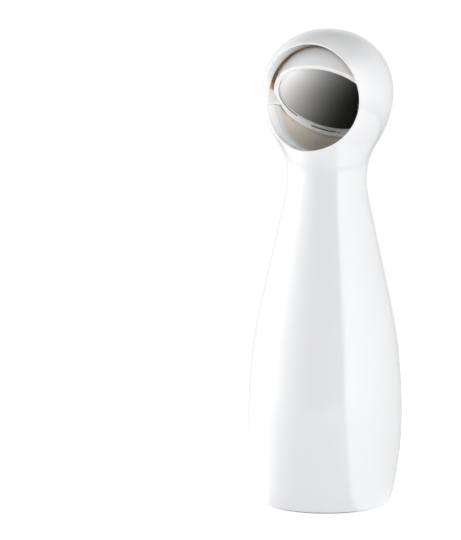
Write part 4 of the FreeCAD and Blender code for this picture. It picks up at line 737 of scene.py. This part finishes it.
def lipRing(bm, c, angle, deep):
    # the lip's section at one angle: up the inner wall, past the slot, over the top and down the ball
    top = c["top"] + c["rise"] * tray["ball"] * (1 - math.sin(angle))
    low, high = min(c["slotLow"], top - c["lowRoom"]), min(c["slotHigh"], top - c["highRoom"])
    rim = c["round"] * min(1, (top - c["low"]) / c["round"] / 2)
    ease = rim * c["ease"]
    inner = c["inner"]

    def outer(level):
        reach = math.sqrt(tray["ball"] ** 2 - (tray["setback"] + level) ** 2)
        return min(reach, tray["flat"] / max(abs(math.cos(angle)), mend["weld"]))

    profile = [(inner, c["low"]), (inner, low), (inner + deep, low), (inner + deep, high), (inner, high),
               (inner, top - rim), (inner + ease, top - ease), (inner + rim, top), (outer(top) - rim, top),
               (outer(top) - ease, top - ease), (outer(top - rim), top - rim), (outer(c["low"]), c["low"])]
    ring = []
    for reach, level in profile:
        place = pivot + trayOut * (tray["setback"] + level)
        place += Vector((1, 0, 0)) * reach * math.cos(angle) + trayUp * reach * math.sin(angle)
        ring.append(bm.verts.new(place * mm))
    return ring


def trayLip(c):
    # a wall round the glass, low at the front edge and high at the back, with a slot in its high side; the
    # slot's back face and the low part of the wall on the left are painted black as shade
    bm = bmesh.new()
    rings, slotted, grooved = [], [], []
    for side in range(c["sides"]):
        angle = math.tau * side / c["sides"] - math.pi
        degrees = math.degrees(angle)
        slotted.append(any(start < degrees < end for start, end in c["slots"]))
        grooved.append(degrees > c["groove"][0] or degrees < c["groove"][1])
        rings.append(lipRing(bm, c, angle, c["slotDeep"] if slotted[-1] else c["flush"]))
    for index, k, face in skinned(bm, rings, True):
        # painted black shade on the low wall inside the shadow arc and on the slot's back face
        face.material_index = int((k == 0 and grooved[index]) or (k == 2 and slotted[index]))
    piece = newPiece(bm, "mirror_lip", c["crease"], ("tray_white", "slot_dark"))
    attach(piece, "mirror")


# the lower lip of the liner: from the back of the opening's wall to the bowl's front edge; depth, radius
# and level of its two edges
skirt = {
    "front": (-14.15, 26.72, 194.2), "back": (-5.25, 26.66, 195.6), "from": 187, "to": 353, "steps": 120,
    "thick": 0.35, "crease": 35,
}


def linerSkirt(c):
    bm = bmesh.new()
    rows = []
    for step in range(c["steps"] + 1):
        angle = math.radians(c["from"] + (c["to"] - c["from"]) * step / c["steps"])
        row = []
        for depth, radius, level in (c["front"], c["back"]):
            for reach in (radius, radius + c["thick"]):
                place = Vector((reach * math.cos(angle), depth, level + reach * math.sin(angle)))
                row.append(bm.verts.new(place * mm))
        rows.append([row[0], row[2], row[3], row[1]])
    skinned(bm, rows, False)
    bm.faces.new(rows[0])
    bm.faces.new(rows[-1][::-1])
    piece = newPiece(bm, "liner_skirt", c["crease"], ["liner_ivory"])
    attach(piece, "casing")


linerSkirt(skirt)
# the domed back and the tray: grey, with a painted beige shade towards the right where the opening's rim
# shades them
backPaintedShade = paintedShadeGrade("backPaintedShade", 0.3, "X", 8, 22, (0.68, 0.69, 0.70), (0.70, 0.66, 0.60))
ballPiece("mirror_dome", "mirror_back", tray, backPaintedShade)
ballPiece("mirror_frame", "mirror_tray", tray, backPaintedShade)
trayLip(lip)
print("mirror done")

# screws: one tree turns a set of points into pan-head screws with a cross recess and a thread
screws = {
    "headRadius": 2.3, "topRadius": 1.6, "rimHeight": 0.9, "headHeight": 1.5, "coreRadius": 0.9,
    "pitch": 0.8, "threadHeight": 0.2, "recessReach": 1.3, "recessWidth": 0.55, "recessDepth": 1.0,
    "headSides": 40, "coreSides": 24, "turnSteps": 16, "ridgeSides": 4, "runOut": 1.5, "edgeShare": 0.97,
    "crease": 35,
    "nodes": ("casing_screws", "seat_screws", "gear_screws", "board_screws", "case_screws", "base_screws",
              "door_screw"),
}
screwSizes = {
    "Head Radius": "headRadius", "Top Radius": "topRadius", "Rim Height": "rimHeight",
    "Head Height": "headHeight", "Core Radius": "coreRadius", "Length": None, "Pitch": "pitch",
    "Thread Height": "threadHeight", "Recess Reach": "recessReach", "Recess Width": "recessWidth",
    "Recess Depth": "recessDepth",
}


def screwTree(c):
    tree = bpy.data.node_groups.new("panHeadScrews", "GeometryNodeTree")
    inputs = [("Points", "Geometry")] + [(label, "Float") for label in screwSizes]
    for label, kind in inputs + [("Turn", "Vector"), ("Finish", "Material")]:
        tree.interface.new_socket(label, in_out="INPUT", socket_type="NodeSocket" + kind)
    tree.interface.new_socket("Screws", in_out="OUTPUT", socket_type="NodeSocketGeometry")
    given = tree.nodes.new("NodeGroupInput").outputs
    end = tree.nodes.new("NodeGroupOutput")

    def lifted(geometry, height):
        place = added(tree, "ShaderNodeCombineXYZ", {"Z": height})
        return added(tree, "GeometryNodeTransform", {"Geometry": geometry, "Translation": place})

    def cone(low, high, height, sides):
        sizes = {"Vertices": sides, "Radius Bottom": low, "Radius Top": high, "Depth": height}
        return added(tree, "GeometryNodeMeshCone", sizes, "Mesh")

    def arm(along, across):
        size = added(tree, "ShaderNodeCombineXYZ", {
            along: maths(tree, "MULTIPLY", given["Recess Reach"], 2), across: given["Recess Width"],
            "Z": maths(tree, "MULTIPLY", given["Recess Depth"], 2),
        })
        return lifted(added(tree, "GeometryNodeMeshCube", {"Size": size}, "Mesh"), given["Head Height"])

    rim = cone(given["Head Radius"], given["Head Radius"], given["Rim Height"], c["headSides"])
    topHeight = maths(tree, "SUBTRACT", given["Head Height"], given["Rim Height"])
    top = cone(given["Head Radius"], given["Top Radius"], topHeight, c["headSides"])
    top = lifted(top, given["Rim Height"])
    head = added(tree, "GeometryNodeMeshBoolean", {"Mesh 2": [rim, top]}, operation="UNION")
    arms = added(tree, "GeometryNodeJoinGeometry", {0: [arm("X", "Y"), arm("Y", "X")]})
    head = added(tree, "GeometryNodeMeshBoolean", {"Mesh 1": head, "Mesh 2": arms}, operation="DIFFERENCE")
    under = maths(tree, "MULTIPLY", given["Length"], -1)
    core = cone(given["Core Radius"], given["Core Radius"], given["Length"], c["coreSides"])
    run = maths(tree, "SUBTRACT", given["Length"], maths(tree, "MULTIPLY", given["Pitch"], c["runOut"]))
    path = added(tree, "GeometryNodeCurveSpiral", {
        "Resolution": c["turnSteps"], "Rotations": maths(tree, "DIVIDE", run, given["Pitch"]),
        "Start Radius": given["Core Radius"], "End Radius": given["Core Radius"], "Height": run,
    })
    sizes = {"Resolution": c["ridgeSides"], "Radius": given["Thread Height"]}
    ridge = added(tree, "GeometryNodeCurvePrimitiveCircle", sizes, "Curve")
    thread = added(tree, "GeometryNodeCurveToMesh", {
        "Curve": lifted(path, maths(tree, "ADD", under, given["Thread Height"])), "Profile Curve": ridge,
        "Fill Caps": True,
    })
    whole = added(tree, "GeometryNodeJoinGeometry", {0: [head, lifted(core, under), thread]})
    each = added(tree, "GeometryNodeInstanceOnPoints", {
        "Points": given["Points"], "Instance": whole, "Rotation": given["Turn"],
    })
    real = added(tree, "GeometryNodeRealizeInstances", {0: each})
    dressed = added(tree, "GeometryNodeSetMaterial", {"Geometry": real, "Material": given["Finish"]})
    tree.links.new(dressed, end.inputs["Screws"])
    return tree


def islands(mesh):
    # the corner points of each loose part of a mesh, in the order of its vertices
    bm = bmesh.new()
    bm.from_mesh(mesh)
    seen, parts = set(), []
    for start in bm.verts:
        if start in seen:
            continue
        seen.add(start)
        queue, part = [start], []
        while queue:
            v = queue.pop()
            part.append(v.co.copy())
            for e in v.link_edges:
                w = e.other_vert(v)
                if w not in seen:
                    seen.add(w)
                    queue.append(w)
        parts.append(np.array(part))
    bm.free()
    return parts


def screwSet(node, tree, c):
    # reads each screw's seat from the frame and lays a finished screw there; a set has one direction and one
    # length, that of its shortest screw
    copy = merged(node, node + "_seats")
    seats, lengths = [], []
    for part in islands(copy.data):
        low, high = part.min(axis=0), part.max(axis=0)
        axis = int(np.argmax(high - low))
        middle = (low + high) / 2
        sides = [k for k in range(3) if k != axis]
        wide = np.hypot(*(part[:, sides] - middle[sides]).T) > c["headRadius"] * mm * c["edgeShare"]
        up = 1 if part[wide, axis].mean() > middle[axis] else -1
        seat = middle.copy()
        seat[axis] = (high if up > 0 else low)[axis] - up * c["headHeight"] * mm
        way = Vector([up if k == axis else 0 for k in range(3)])
        seats.append(tuple(seat))
        lengths.append((high - low)[axis] - c["headHeight"] * mm)
    bpy.data.objects.remove(copy)
    points = bpy.data.meshes.new(node + "_points")
    points.from_pydata(seats, [], [])
    piece = placed(node + "_cross", points)
    maker = piece.modifiers.new("screws", "NODES")
    maker.node_group = tree
    values = {label: c[size] * mm for label, size in screwSizes.items() if size}
    turn = Vector((0, 0, 1)).rotation_difference(way).to_euler()
    values.update({"Length": min(lengths), "Turn": turn, "Finish": finishes["steel"]})
    for item in tree.interface.items_tree:
        if item.in_out == "INPUT" and item.name in values:
            maker[item.identifier] = values[item.name]
    bpy.context.view_layer.update()
    solid = bpy.data.meshes.new_from_object(piece.evaluated_get(bpy.context.evaluated_depsgraph_get()))
    piece.modifiers.remove(maker)
    piece.data = solid
    return settle(smooth(piece, c["crease"]), node, finishes["steel"])


panHeads = screwTree(screws)
for node in screws["nodes"]:
    screwSet(node, panHeads, screws)
print("screws done:", len(screws["nodes"]), "sets")

# pieces that keep the CAD shape, with smooth curved faces
innerCrease = 28
for node in nodes:
    if node not in ("front_shell", "rear_shell", "mirror_dome", "mirror_frame") + screws["nodes"]:
        settle(smooth(merged(node, node + "_smooth"), innerCrease), node, finishes[slotOf[node]])
print("inner pieces done")

# studio: the camera, the light tents, the floor and two lamps
studio = {
    "azimuth": 26.4, "distance": 740.6, "height": 156.0, "pitch": -3.359, "roll": 0.54, "nearest": 10,
    "focal": 1535.2, "centre": 326.22, "imageWidth": 461, "imageHeight": 540, "sensor": 36,
}


def camera(c):
    data = bpy.data.cameras.new("camera")
    data.sensor_width = c["sensor"]
    data.sensor_fit = "AUTO"
    data.lens = c["focal"] / c["imageHeight"] * c["sensor"]
    data.shift_x = -(c["centre"] - c["imageWidth"] / 2) / c["imageHeight"]
    data.clip_start = c["nearest"] * mm
    view = placed("camera", data)
    azimuth, pitch = math.radians(c["azimuth"]), math.radians(c["pitch"])
    view.location = Vector((c["distance"] * math.sin(azimuth), -c["distance"] * math.cos(azimuth),
                            c["height"])) * mm
    forward = Vector((-math.sin(azimuth) * math.cos(pitch), math.cos(azimuth) * math.cos(pitch),
                      math.sin(pitch)))
    turn = forward.to_track_quat("-Z", "Y")
    view.rotation_mode = "QUATERNION"
    view.rotation_quaternion = Quaternion(forward, math.radians(-c["roll"])) @ turn
    bpy.context.scene.camera = view


# the light tents: their lower and upper edges in degrees, and bearings round the toy from the camera's,
# each with how bright the tents are there
tent = {
    "ambient": 0.21, "low": -12, "high": 45, "soft": 14, "softHigh": 28, "peak": 3.5,
    "bearings": [(-180, 0.55), (-150, 0.8), (-123, 1.6), (-103, 2.8), (-87, 3.1), (-74, 2.2), (-61, 1.4),
                 (-50, 0.85), (-37, 0.3), (-25, 0), (25, 0), (34, 2.25), (60, 1.75), (89, 1.1), (120, 0.7),
                 (152, 0.5), (180, 0.55)],
}


def tentGlow(c):
    # how bright the light tents are in a direction about the toy
    group, start, end = newGroup("tentGlow", [("Way", "NodeSocketVector", None)],
                                 [("Glow", "NodeSocketFloat")])
    parts = axes(group, start.outputs["Way"])
    bearing = maths(group, "ARCTAN2", parts["X"], maths(group, "MULTIPLY", parts["Y"], -1))
    share = maths(group, "MULTIPLY", bearing, 1 / math.tau)
    along = maths(group, "FRACT", maths(group, "ADD", share, 1.5 - studio["azimuth"] / 360))
    stops = [(degrees / 360 + 0.5, [level / c["peak"]] * 3) for degrees, level in c["bearings"]]
    feed(group, end, {"Glow": maths(group, "MULTIPLY", ramp(group, along, stops), c["peak"])})
    return group


tents = tentGlow(tent)


def tentsAround(tree, way):
    return added(tree, "ShaderNodeGroup", {"Way": way}, "Glow", node_tree=tents)


def backdropRays(tree):
    # 1 for the rays that see the backdrop, straight or through glass
    rays = tree.nodes.new("ShaderNodeLightPath").outputs
    return maths(tree, "MAXIMUM", rays["Is Camera Ray"], rays["Is Transmission Ray"])


# radius in metres, and how strongly the floor glows to the eye, in reflections and for scattered light
ground = {
    "radius": 0.6, "sides": 96, "colour": (0.8, 0.8, 0.8), "glow": 0.7, "shine": 0.75, "loss": 0.35,
    "bounce": 0.11,
}


def floor(c):
    # white to the eye, and darker only where the toy keeps the light off it
    mesh = bpy.data.meshes.new("floor")
    turns = [math.tau * step / c["sides"] for step in range(c["sides"])]
    mesh.from_pydata([(c["radius"] * math.cos(a), c["radius"] * math.sin(a), 0) for a in turns], [],
                     [range(c["sides"])])
    material, tree, shader = newMaterial("studioFloor")
    tree.nodes.remove(shader)
    rays = tree.nodes.new("ShaderNodeLightPath").outputs
    around = tentsAround(tree, added(tree, "ShaderNodeTexCoord", result="Object"))
    bright = maths(tree, "MAXIMUM", maths(tree, "SUBTRACT", around, c["loss"]), 0)
    shine = maths(tree, "MULTIPLY", maths(tree, "MULTIPLY", bright, c["shine"]), rays["Is Glossy Ray"])
    seen = maths(tree, "MULTIPLY", backdropRays(tree), c["glow"])
    bounce = maths(tree, "MULTIPLY", rays["Is Diffuse Ray"], c["bounce"])
    strength = maths(tree, "ADD", maths(tree, "ADD", seen, shine), bounce)
    matt = added(tree, "ShaderNodeBsdfDiffuse", {"Color": c["colour"]})
    glow = added(tree, "ShaderNodeEmission", {"Strength": strength})
    both = added(tree, "ShaderNodeAddShader", {0: matt, 1: glow})
    under = added(tree, "ShaderNodeNewGeometry", result="Backfacing")
    clear = added(tree, "ShaderNodeBsdfTransparent")
    sided = added(tree, "ShaderNodeMixShader", {0: under, 1: both, 2: clear})
    feed(tree, tree.nodes["Material Output"], {"Surface": sided})
    mesh.materials.append(material)
    placed("floor", mesh)


def world(c):
    # two light tents painted on the sky: a soft one to the left, one with a sharp edge to the right
    room = bpy.data.worlds.new("studio")
    room.use_nodes = True
    tree = room.node_tree
    way = added(tree, "ShaderNodeTexCoord", result="Generated")
    height = maths(tree, "MULTIPLY", maths(tree, "ARCSINE", axes(tree, way)["Z"]), 180 / math.pi)
    fade = 1 / c["soft"]
    under = maths(tree, "ADD", maths(tree, "MULTIPLY", height, fade), 0.5 - c["low"] * fade, clamp=True)
    fade = 1 / c["softHigh"]
    over = maths(tree, "ADD", maths(tree, "MULTIPLY", height, -fade), 0.5 + c["high"] * fade, clamp=True)
    glow = maths(tree, "MULTIPLY", tentsAround(tree, way), maths(tree, "MULTIPLY", under, over))
    level = maths(tree, "ADD", glow, c["ambient"])
    strength = added(tree, "ShaderNodeMix", {"Factor": backdropRays(tree), "A": level, "B": 1})
    feed(tree, tree.nodes["Background"], {"Color": (1, 1, 1), "Strength": strength})
    bpy.context.scene.world = room
    bpy.context.scene.view_settings.view_transform = "Standard"


# a soft fill that reaches into the head, and a narrow beam from the right on the walls and the lug in it;
# places in metres, power in watts
lamps = {
    "frontLamp": {
        "kind": "AREA", "place": (0.4, -0.48, 0.06), "aim": (0, 0, 0.16), "energy": 1.12, "size": 0.3,
    },
    "headSpot": {
        "kind": "SPOT", "place": (0.36, -0.38, 0.2), "aim": (-0.024, -0.012, 0.19), "energy": 8.0,
        "spot_size": math.radians(5.5), "spot_blend": 1, "shadow_soft_size": 0.02,
    },
}


def lamp(name, kind, place, aim, **settings):
    # it lights the toy but isn't mirrored in its shine
    data = bpy.data.lights.new(name, kind)
    for label, value in settings.items():
        setattr(data, label, value)
    light = placed(name, data)
    light.location = place
    light.rotation_euler = (Vector(aim) - Vector(place)).to_track_quat("-Z", "Y").to_euler()
    light.visible_glossy = False


camera(studio)
floor(ground)
world(tent)
for name, settings in lamps.items():
    lamp(name, **settings)
print("studio ready")
